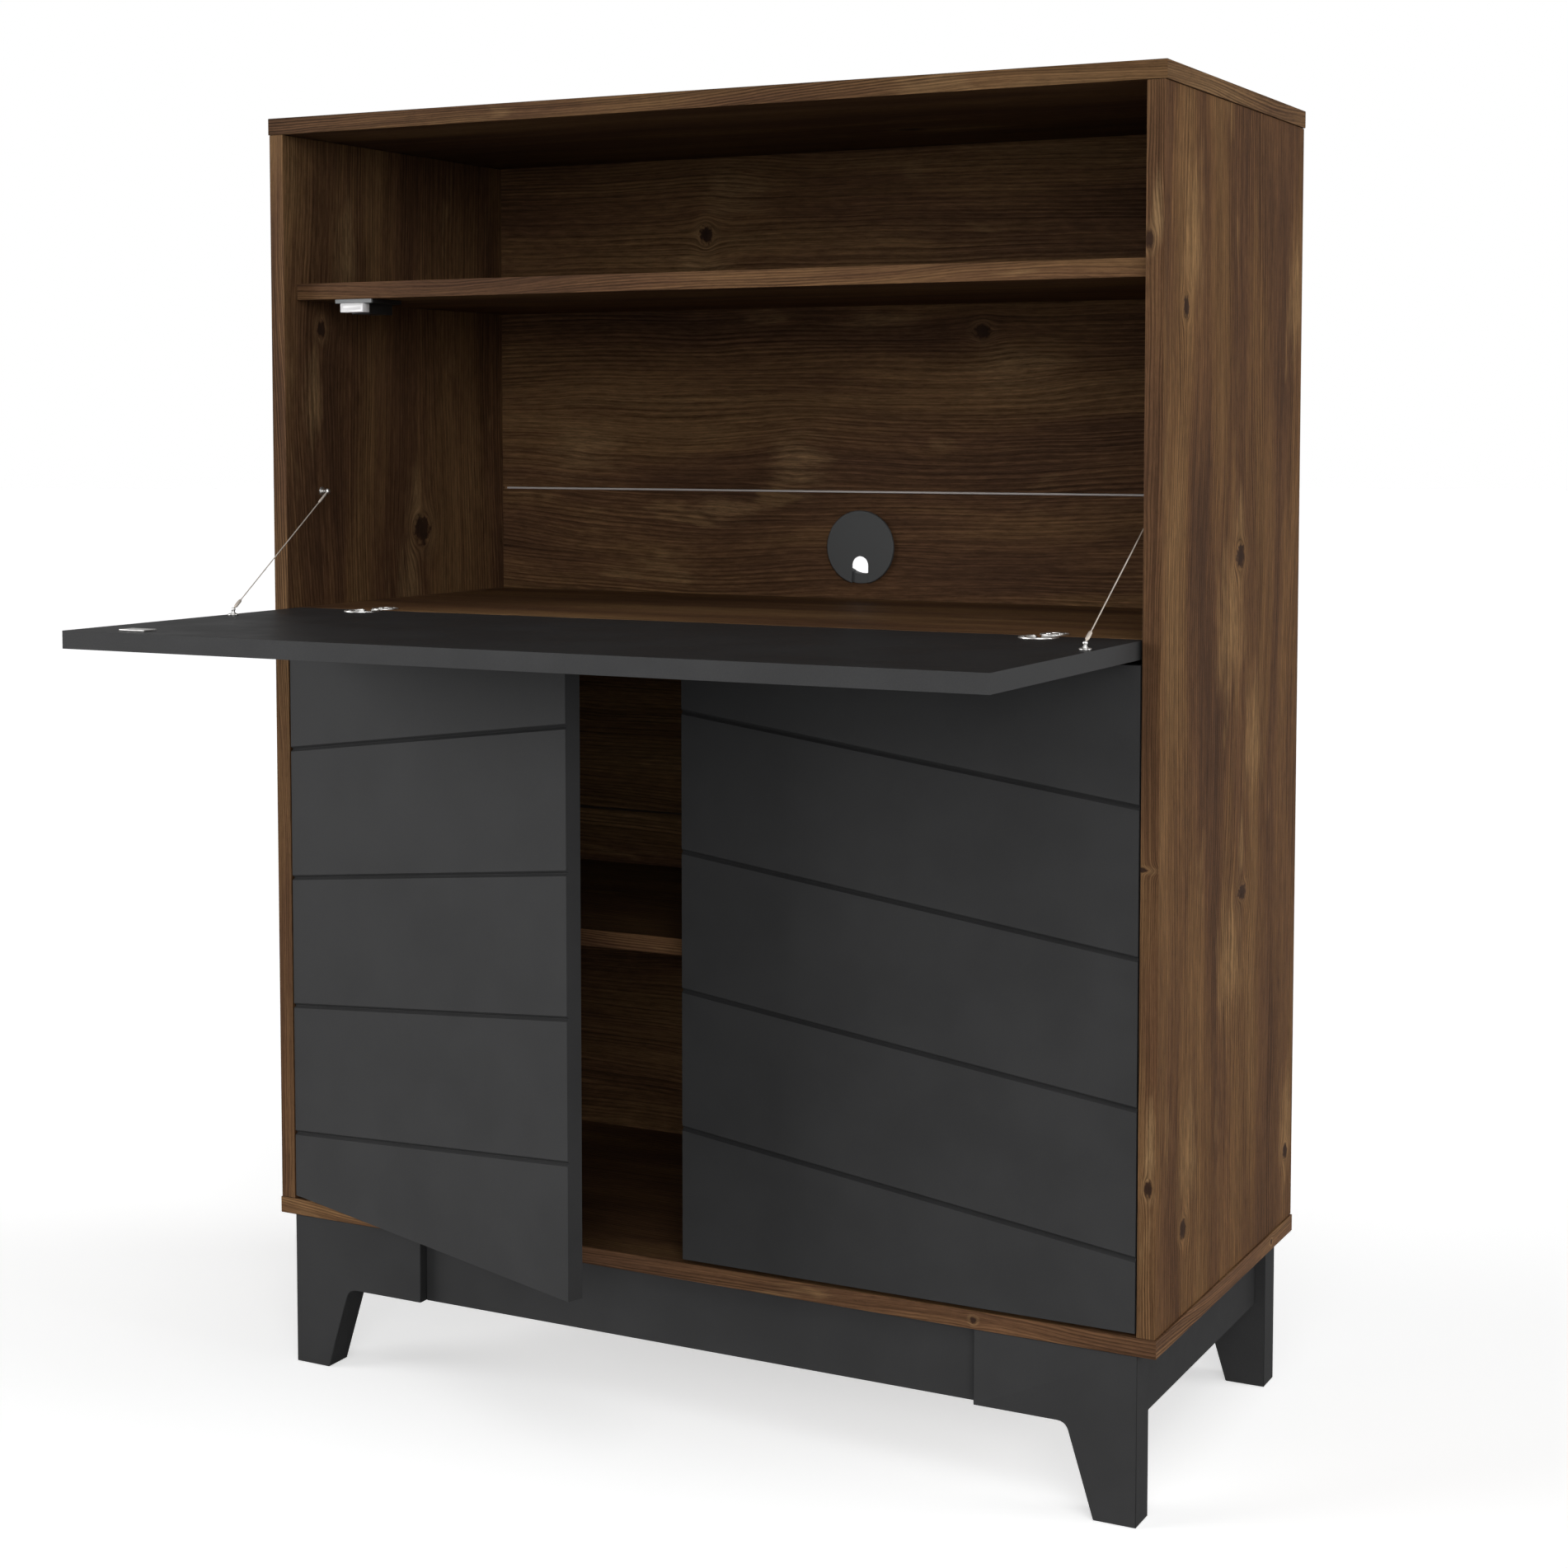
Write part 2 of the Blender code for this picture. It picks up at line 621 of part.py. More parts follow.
def build_door(side, sign, axis):
    """A door modelled shut, measured from its axis at the front outer corner."""
    inward = -sign
    ends = sorted((0, inward * DOOR_WIDTH))
    low = (ends[0], 0, DOOR_BOTTOM)
    high = (ends[1], BOARD, DOOR_TOP)
    door = box("door_" + side, low, high, BLACK, axis)

    # The grooves are parallel and fall from the centre edge to the outer edge.
    fall = math.atan2(DOOR_GROOVE_DROP, DOOR_WIDTH)
    section = DOOR_GROOVE_WIDTH / math.sqrt(2)
    for i in range(DOOR_GROOVES):
        middle = DOOR_GROOVE_TOP - DOOR_GROOVE_DROP / 2 - i * DOOR_GROOVE_SPACING
        mesh = box_mesh("groove", (DOOR_WIDTH * 1.2, section, section))
        mesh.transform(Matrix.Rotation(math.pi / 4, 4, "X"))
        mesh.transform(Matrix.Rotation(-inward * fall, 4, "Y"))
        place = (inward * DOOR_WIDTH / 2, 0, middle)
        cut(door, add_part(f"door_groove_{side}_{i}", mesh, BLACK, place, axis))

    strike_x = inward * (DOOR_AXIS_X - 0.016)
    strike_half = 0.011
    height = DECK_TOP - BOARD - 0.010
    box(
        "door_strike_plate_" + side,
        (strike_x - strike_half, BOARD + GAP, height - 0.008),
        (strike_x + strike_half, BOARD + GAP + STRIKE_THICKNESS, DOOR_TOP - 0.001),
        STEEL,
        axis,
    )
    return door


def link_path():
    """The hinge link's route with the door shut, from its nose in the cup back into the arm.

    Each point is (distance in from the door's outer edge, distance behind the door's front).
    """
    return [
        (0.0110, 0.0100), (0.0134, 0.0080), (0.0157, 0.0078), (0.0180, 0.0105), (0.0196, 0.0150),
        (0.0198, 0.0190), (0.0192, 0.0245), (0.0170, 0.0330), (0.0140, 0.0415), (0.0120, 0.0480),
        (0.0115, 0.0560), (0.0115, 0.0700),
    ]


def build_door_hinge(name, sign, z, door, axis, link_start):
    """A 35 mm cup in the door, an arm on the side panel, and a goose-neck link between them."""
    inward = -sign
    cup_centre = 0.021
    cup_radius = 0.0175
    cup_bottom = 0.0045
    wall = 0.0012
    flange_rear = BOARD + GAP + 0.0012
    flange_radius = 0.0195
    # Turned about Y, a profile's height runs towards the back of the door.
    profile = [
        (0, cup_bottom + wall), (cup_radius - wall, cup_bottom + wall),
        (cup_radius - wall, flange_rear), (flange_radius, flange_rear),
        (flange_radius, BOARD + GAP), (cup_radius, BOARD + GAP), (cup_radius, cup_bottom),
        (0, cup_bottom),
    ]
    place = Vector((inward * cup_centre, 0, z))
    cup = turned("door_hinge_cup_" + name, profile[::-1], STEEL, place, "Y", axis, 28)
    for end in (-1, 1):
        low = place + Vector((-0.008, BOARD + GAP, end * 0.021 - 0.0035))
        high = place + Vector((0.008, flange_rear, end * 0.021 + 0.0035))
        join(cup, box(f"cup_ear_{name}_{end + 1}", low, high, STEEL, axis))
    pocket_depth = BOARD + 0.01 - cup_bottom + GAP
    pocket_y = cup_bottom - GAP + pocket_depth / 2
    pocket = (place.x, pocket_y, z)
    cut(door, bar("cup_pocket_" + name, pocket, cup_radius + GAP, pocket_depth, "Y", BLACK, axis, 40))

    corner = Vector((sign * DOOR_AXIS_X, FRONT, z))
    strap_half = 0.004
    strap = 0.0009
    centre_line = [Vector((inward * x, y)) for x, y in link_path()]
    link_outline = strap_outline(centre_line, strap)
    mesh = outline_mesh("door_hinge_link_" + name, link_outline, 2 * strap_half)
    add_part("door_hinge_link_" + name, mesh, STEEL, corner - Vector((0, link_start, 0)))

    # The arm is a channel, open towards the door and towards the panel, on a screwed foot.
    arm_inner = 0.0033
    arm_height = 0.0224
    sheet = 0.0013
    arm_front = 0.0240
    arm_rear = 0.0840
    half = 0.0068
    near = corner + Vector((inward * arm_inner, arm_front, -half))
    far = corner + Vector((inward * arm_height, arm_rear, half))
    low = Vector((min(near.x, far.x), near.y, near.z))
    high = Vector((max(near.x, far.x), far.y, far.z))
    arm = box("door_hinge_arm_" + name, low, high, STEEL)
    hollow_near = corner.x + inward * (arm_inner - 0.01)
    hollow_far = corner.x + inward * (arm_height - sheet)
    hollow_low = (min(hollow_near, hollow_far), near.y - 0.01, near.z + sheet)
    hollow_high = (max(hollow_near, hollow_far), far.y - sheet, far.z - sheet)
    cut(arm, box("arm_hollow_" + name, hollow_low, hollow_high, STEEL))
    foot_near = corner.x - inward * (DOOR_SIDE_GAP - GAP)
    foot_far = corner.x + inward * (arm_inner + 0.0005)
    foot_low = (min(foot_near, foot_far), corner.y + 0.040, z - 0.024)
    foot_high = (max(foot_near, foot_far), corner.y + 0.070, z + 0.024)
    join(arm, box("arm_foot_" + name, foot_low, foot_high, STEEL))


def strap_outline(centre_line, half):
    """Offsets a centre line to both sides, as a strip's outline."""
    offsets = []
    for i, point in enumerate(centre_line):
        before = centre_line[max(i - 1, 0)]
        after = centre_line[min(i + 1, len(centre_line) - 1)]
        along = (after - before).normalized()
        offsets.append(Vector((-along.y, along.x)) * half)
    one_side = [tuple(p + o) for p, o in zip(centre_line, offsets)]
    other_side = [tuple(p - o) for p, o in zip(centre_line, offsets)]
    return one_side + other_side[::-1]


def main():
    carcass = build_carcass()
    back = build_back()
    build_grommet(back["back_panel_middle"])
    build_base()

    flap, flap_axis = build_flap()
    for side, sign in SIDES:
        build_flap_hinge(side, sign, flap, flap_axis, carcass["desk_deck"])
        build_stay(side, sign, flap_axis)
    build_latch("flap_latch", LATCH_X, UPPER_SHELF_TOP - BOARD, GREY_PLASTIC)
    build_door_latches()

    for side, sign in SIDES:
        opening = LEFT_DOOR_OPEN if side == "left" else 0.0
        place = (sign * DOOR_AXIS_X, FRONT, 0)
        axis = axis_empty("door_axis_" + side, place, sign * opening)
        door = build_door(side, sign, axis)
        link_start = LINK_TRAVEL * opening / DOOR_FULLY_OPEN
        for level, z in zip(("lower", "upper"), DOOR_HINGE_HEIGHTS):
            build_door_hinge(f"{side}_{level}", sign, z, door, axis, link_start)


main()
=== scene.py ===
"""The looks of a secretary desk: knotty dark laminate, charcoal panels and nickel fittings."""

import json
import math

import bmesh
import bpy
from mathutils import Matrix, Vector


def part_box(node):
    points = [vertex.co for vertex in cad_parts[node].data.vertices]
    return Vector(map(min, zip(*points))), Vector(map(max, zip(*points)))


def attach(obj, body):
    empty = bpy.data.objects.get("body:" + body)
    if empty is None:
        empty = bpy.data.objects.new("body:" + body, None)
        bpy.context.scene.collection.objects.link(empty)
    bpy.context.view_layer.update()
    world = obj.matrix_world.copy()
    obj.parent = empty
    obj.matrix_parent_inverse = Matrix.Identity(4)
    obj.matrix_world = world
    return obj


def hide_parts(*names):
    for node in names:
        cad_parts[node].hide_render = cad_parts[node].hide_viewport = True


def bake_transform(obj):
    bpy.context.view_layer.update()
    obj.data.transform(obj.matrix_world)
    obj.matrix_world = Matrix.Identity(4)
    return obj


# Camera, in metres, degrees and millimetres of sensor. The rise is a share of the picture's width.
CAMERA_PLACE = (1.168, -2.109, 0.934)
CAMERA_AZIMUTH = 27.16
CAMERA_ELEVATION = 3.64
CAMERA_LENS = 60.07
CAMERA_SENSOR = 36.0
CAMERA_RISE = -0.12

# Light. Angles are in degrees.
SUNS = (
    # name, azimuth from the front towards the right, elevation, strength
    ("left_front_light", -58, 10, 2.40),
    ("right_light", 102, 12, 1.84),
    ("right_front_light", 32, 10, 1.42),
    ("high_light", 35, 58, 0.80),
)
SUN_SOFTNESS = 36
SKY_ON_OBJECT = 0.05
SKY_IN_REFLECTIONS = 0.38
FLOOR_GLOW = 0.56
FLOOR_REACH = 40.0
FLOOR_SIDES = 96
FLOOR_LEVEL = -0.0005
FLOOR_ROUGHNESS = 0.9
FLOOR_SHADES = ((0.80, 0.80, 0.80), (0.84, 0.84, 0.84))

# Edges: how far a sharp one is rounded, in metres, and the steepest that still looks smooth
BOARD_EDGE = 0.0005
PANEL_EDGE = 0.0009
LEG_EDGE = 0.0006
METAL_EDGE = 0.0002
SMOOTH_ANGLE = math.radians(38)
PIECE_SMOOTH_ANGLE = math.radians(40)
WELD_REACH = 0.00001
LATHE_SIDES = 28

# Stays, in metres. A profile is (distance along the axis, radius).
STAY_SIDE_POINT = (0.435, 0.0145, 0.872)
STAY_FLAP_POINT = (0.4295, -0.1415, 0.7635)
ROPE_RADIUS = 0.00050
ROPE_STRANDS = 6
STRAND_SIDES = 6
ROPE_TURN = 0.012
ROPE_RELIEF = 0.14
ROPE_STEPS = 120
CRIMP_START = 0.0024
FERRULE_START = 0.0022
CRIMP = (
    (0.0, 0.0006), (0.0022, 0.0011), (0.0030, 0.00125), (0.0155, 0.00125), (0.0165, 0.0008),
)
FERRULE = (
    (0.0, 0.0008), (0.0018, 0.0010), (0.0024, 0.0015), (0.0030, 0.0017), (0.0105, 0.0017),
    (0.0116, 0.0013),
)
SIDE_POST = (
    (0.0, 0.0), (0.0, 0.0046), (0.0008, 0.0046), (0.0013, 0.0040), (0.0015, 0.0018),
    (0.0040, 0.0016), (0.0050, 0.0024), (0.0062, 0.0029), (0.0074, 0.0029), (0.0086, 0.0024),
    (0.0094, 0.0012), (0.0096, 0.0),
)
FLAP_POST = (
    (0.0, 0.0), (0.0, 0.0053), (0.0006, 0.0053), (0.0011, 0.0047), (0.0016, 0.0024),
    (0.0030, 0.0015), (0.0038, 0.0017), (0.0046, 0.0021), (0.0056, 0.0021), (0.0063, 0.0017),
    (0.0068, 0.0008), (0.0069, 0.0),
)

# Flap hinges, in metres. The hinge slot is half of the gap that a bead leaves for the arm.
# A rim is (radius, half its width), and a screw's place is (across, back) from the middle.
HINGE_SLOT = 0.0092
TRIM_SINK = 0.0002
CUP_RIM = (0.0166, 0.0009)
CUP_INNER_RIM = (0.0112, 0.0006)
CUP_INNER_RIM_SHIFT = -0.001
CUP_SCREW_PLACE = (0.0138, -0.0005)
CUP_SCREW_RADIUS = 0.0021
PLATE_FROM_ARM_END = 0.013
PLATE_RIM = (0.0121, 0.0008)
PLATE_SCREW_PLACE = (0.0058, 0.0015)
PLATE_SCREW_RADIUS = 0.0028
BEAD_SIDES = 64
SCREW_SIDES = 32
# A screw head's profile is (height, radius), and with its recess it is in parts of its radius.
SCREW_PROFILE = ((0.0, 1.0), (0.25, 1.0), (0.42, 0.82), (0.5, 0.55), (0.5, 0.0))
SCREW_RECESS = 0.28
SCREW_RECESS_REACH = 0.7
SCREW_RECESS_WIDTH = 0.35

# Latches, in metres. Behind its plate's reach, in Y, the flap latch's housing is painted near black as
# painted shade. A catch step is (inset, how far back), from the front face's rim inwards.
LATCH_PLATE_REACH = -0.0185
FLAP_CATCH_DEPTH = 0.011
DOOR_CATCH_DEPTH = 0.010
CATCH_EDGE = 0.0006
CATCH_STEPS = ((0.0012, 0.0007), (0.0011, 0.0), (0.0006, -0.0004))
STEM = ((0.0, 0.0), (0.0, 0.0021), (0.0120, 0.0021), (0.0125, 0.0016), (0.0125, 0.0))
STEM_SINK = 0.001

# Laminate colours, from the dark streaks to the gold round the knots
STREAK = (0.057, 0.029, 0.016)
BROWN = (0.086, 0.044, 0.022)
TAN = (0.118, 0.064, 0.029)
HONEY = (0.160, 0.094, 0.044)
GOLD = (0.225, 0.140, 0.068)
KNOT = (0.010, 0.007, 0.007)
# Painted shade: a warmer, darker painted tint on a side panel's outer face
OUTER_PAINTED_TINT = (0.93, 0.86, 0.76)
BACKING = ((0.070, 0.044, 0.028), (0.098, 0.064, 0.042))
ZONE_TONES = ((0.32, STREAK), (0.46, BROWN), (0.58, TAN), (0.78, HONEY))

# Laminate pattern. A pair is in cycles per metre along the grain and across it, a density is in
# rings per metre, and shades are the darkest and the palest.
WANDER = (1.7, 5.5)
WANDER_REACH = 0.065
RIPPLE = (8.0, 34.0)
RIPPLE_REACH = 0.006
RING_SPACING = 24.0
RING_SPREAD = 6.0
RING_STRENGTH = (3.5, 34.0)
LINES = (4.0, 640.0)
DASHES = (48.0, 330.0)
FIBRES = (70.0, 1500.0)
PORES = (190.0, 2100.0)
ZONES = (1.9, 15.0)
FLAKES = (6.5, 26.0)
FLAMES = (14.0, 70.0)
HAIRS = (22.0, 420.0)
FACE_DENSITY = 215.0
EDGE_DENSITY = 400.0
RING_DEPTH = 0.48
EDGE_RING_DEPTH = 0.66
FACE_SHADE = 1.16
EDGE_SHADE = 1.28
LINE_SHADES = (0.78, 1.20)
DASH_SHADES = (0.82, 1.18)
FIBRE_SHADES = (0.82, 1.18)
PORE_DEPTH = 0.22
FLAKE_STRENGTH = 0.6
KNOT_RAGGED = 1.6
KNOT_RIM = 0.35
PATCH_FLAMES = 2.4
PATCH_HAIRS = 1.5
PATCH_PULL = 0.35
LAMINATE_ROUGHNESS = 0.50
LAMINATE_SPECULAR = 0.03
FACING = 0.7

# Knots are (along, across, radius, stretch) in metres, and golden patches are (along, across,
# half the length, half the width). On an edge, across is the board's other coordinate.
RIGHT_KNOTS = (
    (0.820, 0.176, 0.013, 1.0), (1.037, 0.017, 0.008, 1.2), (0.512, 0.191, 0.013, 0.6),
    (0.242, 0.031, 0.009, 1.0), (0.234, 0.340, 0.009, 0.9), (0.296, 0.452, 0.004, 2.0),
    (1.091, 0.446, 0.004, 2.0), (0.566, 0.4415, 0.009, 0.25),
)
RIGHT_PATCHES = (
    (0.850, 0.172, 0.030, 0.016), (0.765, 0.150, 0.075, 0.040), (1.098, 0.034, 0.068, 0.026),
    (0.555, 0.186, 0.030, 0.010), (0.462, 0.158, 0.060, 0.036), (0.655, 0.222, 0.062, 0.026),
    (1.060, 0.342, 0.060, 0.022), (0.310, 0.044, 0.060, 0.026), (0.260, 0.342, 0.060, 0.020),
    (1.110, 0.451, 0.030, 0.006), (0.330, 0.452, 0.040, 0.005),
)
LEFT_KNOTS = ((0.828, 0.188, 0.016, 1.1), (1.034, 0.017, 0.007, 1.3), (0.360, 0.210, 0.009, 1.4))
LEFT_PATCHES = (
    (1.110, 0.059, 0.060, 0.018), (0.967, 0.003, 0.050, 0.014), (0.855, 0.176, 0.040, 0.014),
    (0.780, 0.165, 0.045, 0.020), (0.420, 0.205, 0.050, 0.014),
)
BACK_KNOTS = (
    (-0.184, 1.140, 0.011, 0.8), (0.134, 1.033, 0.008, 1.1), (-0.060, 0.330, 0.009, 1.1),
)
BACK_PATCHES = (
    (-0.150, 1.185, 0.040, 0.028), (-0.190, 1.105, 0.035, 0.018), (0.175, 0.998, 0.055, 0.024),
    (-0.336, 0.915, 0.045, 0.028), (-0.073, 0.900, 0.035, 0.032), (-0.161, 0.848, 0.040, 0.014),
    (0.020, 1.045, 0.045, 0.010), (-0.080, 0.370, 0.050, 0.024),
)
TOP_KNOTS = ((0.12, 0.20, 0.010, 1.4),)
TOP_PATCHES = ((0.16, 0.21, 0.06, 0.02),)
BOTTOM_KNOTS = ((0.293, 0.158, 0.003, 1.0),)
BOARDS = (
    # node, material, grain, seed, knots, patches, faces that have their own tone, tone, gilt. On side
    # panels and level faces the own tone is painted light and shade.
    # Painted shade on the right side panel's inner face and the shelves' level faces, painted light on
    # the left side panel's inner face and the deck's level faces
    ("side_panel_right", "side_right", "Z", 1.0, RIGHT_KNOTS, RIGHT_PATCHES, "right", 0.9, 0.85),
    ("side_panel_left", "side_left", "Z", 21.0, LEFT_KNOTS, LEFT_PATCHES, "left", 1.02, 0.8),
    ("top_panel", "top", "X", 33.0, TOP_KNOTS, TOP_PATCHES, None, 0.86, 1.0),
    ("bottom_panel", "bottom", "X", 48.3, BOTTOM_KNOTS, (), None, 1.2, 1.0),
    ("desk_deck", "deck", "X", 53.7, (), (), "flat", 1.1, 1.0),
    ("upper_shelf", "shelf_upper", "X", 65.3, (), (), "flat", 0.9, 1.0),
    ("lower_shelf", "shelf_lower", "X", 71.0, (), (), "flat", 0.9, 1.0),
)

# Charcoal
CHARCOAL = (0.036, 0.036, 0.0365)
CHARCOAL_SPECULAR = 0.07
MOTTLE_SHADES = (0.94, 1.07)
GRIT_SHADES = (0.93, 1.07)

# Fittings
NICKEL_COLOUR = (0.78, 0.77, 0.75)
STEEL_COLOUR = (0.86, 0.85, 0.83)
ROPE_COLOUR = (0.60, 0.53, 0.46)
STRIP_COLOUR = (0.50, 0.46, 0.44)
DARK_STRIP_COLOUR = (0.030, 0.018, 0.012)
GREY_COLOUR = (0.16, 0.165, 0.165)
WHITE_COLOUR = (0.74, 0.73, 0.73)
DARK_COLOUR = (0.05, 0.052, 0.053)
# Painted shade on the flap latch's housing behind its plate
LATCH_PAINTED_SHADE = (0.012, 0.012, 0.012)
METAL_WORN = 0.82
METAL_LINES = (300.0, 2600.0)

SIDES = (("left", -1), ("right", 1))
FLOW = ("Bend", "Core", "Gold")


class Graph:
    """Builds a node tree. A value is a number, a colour or another node's output."""

    def __init__(self, tree):
        self.tree = tree

    def put(self, value, socket):
        if isinstance(value, bpy.types.NodeSocket):
            self.tree.links.new(value, socket)
        elif socket.type == "RGBA" and len(value) == 3:
            socket.default_value = (*value, 1)
        else:
            socket.default_value = value

    def node(self, kind, inputs=None, **settings):
        made = self.tree.nodes.new(kind)
        for name, value in settings.items():
            setattr(made, name, value)
        for name, value in (inputs or {}).items():
            self.put(value, made.inputs[name])
        return made

    def math(self, operation, a, b=0.0):
        return self.node("ShaderNodeMath", {0: a, 1: b}, operation=operation).outputs[0]

    def add(self, a, b):
        return self.math("ADD", a, b)

    def subtract(self, a, b):
        return self.math("SUBTRACT", a, b)

    def times(self, a, b):
        return self.math("MULTIPLY", a, b)

    def between(self, value, low, high, start=0.0, end=1.0):
        """A smooth step from start, at low, to end, at high."""
        inputs = {"Value": value, 1: low, 2: high, 3: start, 4: end}
        made = self.node("ShaderNodeMapRange", inputs, interpolation_type="SMOOTHSTEP")
        return made.outputs[0]

    def mix(self, factor, a, b):
        made = self.node("ShaderNodeMix", {0: factor, 2: a, 3: b}, data_type="FLOAT")
        return made.outputs[0]

    def blend(self, factor, a, b, how="MIX"):
        made = self.node("ShaderNodeMix", {0: factor, 6: a, 7: b}, data_type="RGBA", blend_type=how)
        return made.outputs[2]

    def vector(self, x=0.0, y=0.0, z=0.0):
        return self.node("ShaderNodeCombineXYZ", {0: x, 1: y, 2: z}).outputs[0]

    def split(self, vector):
        return self.node("ShaderNodeSeparateXYZ", {0: vector}).outputs

    def noise(self, vector, scale=1.0, detail=2.0, rough=0.5):
        inputs = {"Vector": vector, "Scale": scale, "Detail": detail, "Roughness": rough}
        return self.node("ShaderNodeTexNoise", inputs, noise_dimensions="3D").outputs[0]

    def grain_noise(self, along, across, pattern, seed, detail=2.0, rough=0.5):
        """Noise drawn out along the grain. The pattern is a pair from the values at the top."""
        at = self.vector(self.times(along, pattern[0]), self.times(across, pattern[1]), seed)
        return self.noise(at, 1.0, detail, rough)

    def bump(self, height, strength, distance, shader):
        inputs = {"Height": height, "Strength": strength, "Distance": distance}
        self.put(self.node("ShaderNodeBump", inputs).outputs[0], shader.inputs["Normal"])

    def shaded(self, colour, shade):
        """A colour times a number."""
        return self.blend(1.0, colour, self.vector(shade, shade, shade), "MULTIPLY")

    def ramp(self, value, stops):
        made = self.node("ShaderNodeValToRGB", {0: value})
        elements = made.color_ramp.elements
        while len(elements) < len(stops):
            elements.new(0.5)
        for element, (place, colour) in zip(elements, stops):
            element.position = place
            element.color = (*colour, 1)
        return made.outputs[0]


def new_material(name):
    material = bpy.data.materials.new(name)
    material.use_nodes = True
    return material, Graph(material.node_tree), material.node_tree.nodes["Principled BSDF"]


def new_group(name, inputs, outputs):
    """A node group whose sockets are numbers or colours. Returns (tree, graph, inputs, output node)."""
    tree = bpy.data.node_groups.new(name, "ShaderNodeTree")
    for socket in inputs:
        tree.interface.new_socket(socket, in_out="INPUT", socket_type="NodeSocketFloat")
    for socket, kind in outputs:
        tree.interface.new_socket(socket, in_out="OUTPUT", socket_type=kind)
    graph = Graph(tree)
    return tree, graph, graph.node("NodeGroupInput").outputs, graph.node("NodeGroupOutput")


def mark_group(name, first_size, second_size):
    """A node group that adds one mark to the flow of bend, core and gold over a board."""
    places = ("Along", "Across", "At along", "At across", first_size, second_size)
    return new_group(name, places + FLOW, [(socket, "NodeSocketFloat") for socket in FLOW])


def knot_group():
    """Bends the grain round one knot, and adds the knot's dark core and the thin light rim round it."""
    tree, g, inside, out = mark_group("knot", "Radius", "Stretch")
    along = g.math("DIVIDE", g.subtract(inside["Along"], inside["At along"]), inside["Stretch"])
    across = g.subtract(inside["Across"], inside["At across"])
    reach = g.math("SQRT", g.add(g.times(along, along), g.times(across, across)))
    ragged = g.noise(g.vector(along, across, inside["Radius"]), 170.0, 3.0, 0.6)
    size = g.math("DIVIDE", reach, inside["Radius"])
    pull = g.math("DIVIDE", 1.0, g.math("MAXIMUM", g.times(size, size), 1.0))
    g.put(g.subtract(inside["Bend"], g.times(across, pull)), out.inputs["Bend"])
    torn = g.add(size, g.times(g.subtract(ragged, 0.5), KNOT_RAGGED))
    core = g.between(torn, 1.0, 0.62)
    g.put(g.math("MAXIMUM", inside["Core"], core), out.inputs["Core"])
    rim = g.times(g.between(torn, 0.8, 1.15), g.between(torn, 2.4, 1.2))
    g.put(g.math("MAXIMUM", inside["Gold"], g.times(rim, KNOT_RIM)), out.inputs["Gold"])
    return tree


def patch_group():
    """Adds one golden patch with a flame-like outline, long along the grain."""
    tree, g, inside, out = mark_group("patch", "Length", "Width")
    along = g.subtract(inside["Along"], inside["At along"])
    across = g.subtract(inside["Across"], inside["At across"])
    u = g.math("DIVIDE", along, inside["Length"])
    v = g.math("DIVIDE", across, inside["Width"])
    flames = g.grain_noise(along, across, FLAMES, inside["Width"], 4.0)
    hairs = g.grain_noise(along, across, HAIRS, 0.0, 3.0, 0.6)
    size = g.math("SQRT", g.add(g.times(u, u), g.times(v, v)))
    size = g.add(size, g.times(g.subtract(flames, 0.5), PATCH_FLAMES))
    size = g.add(size, g.times(g.subtract(hairs, 0.5), PATCH_HAIRS))
    gold = g.between(size, 1.35, 0.10)
    g.put(g.math("MAXIMUM", inside["Gold"], gold), out.inputs["Gold"])
    squeeze = g.math("DIVIDE", 1.0, g.add(1.0, g.times(g.add(g.times(u, u), g.times(v, v)), 1.5)))
    pull = g.times(across, g.times(squeeze, PATCH_PULL))
    g.put(g.subtract(inside["Bend"], pull), out.inputs["Bend"])
    g.put(inside["Core"], out.inputs["Core"])
    return tree


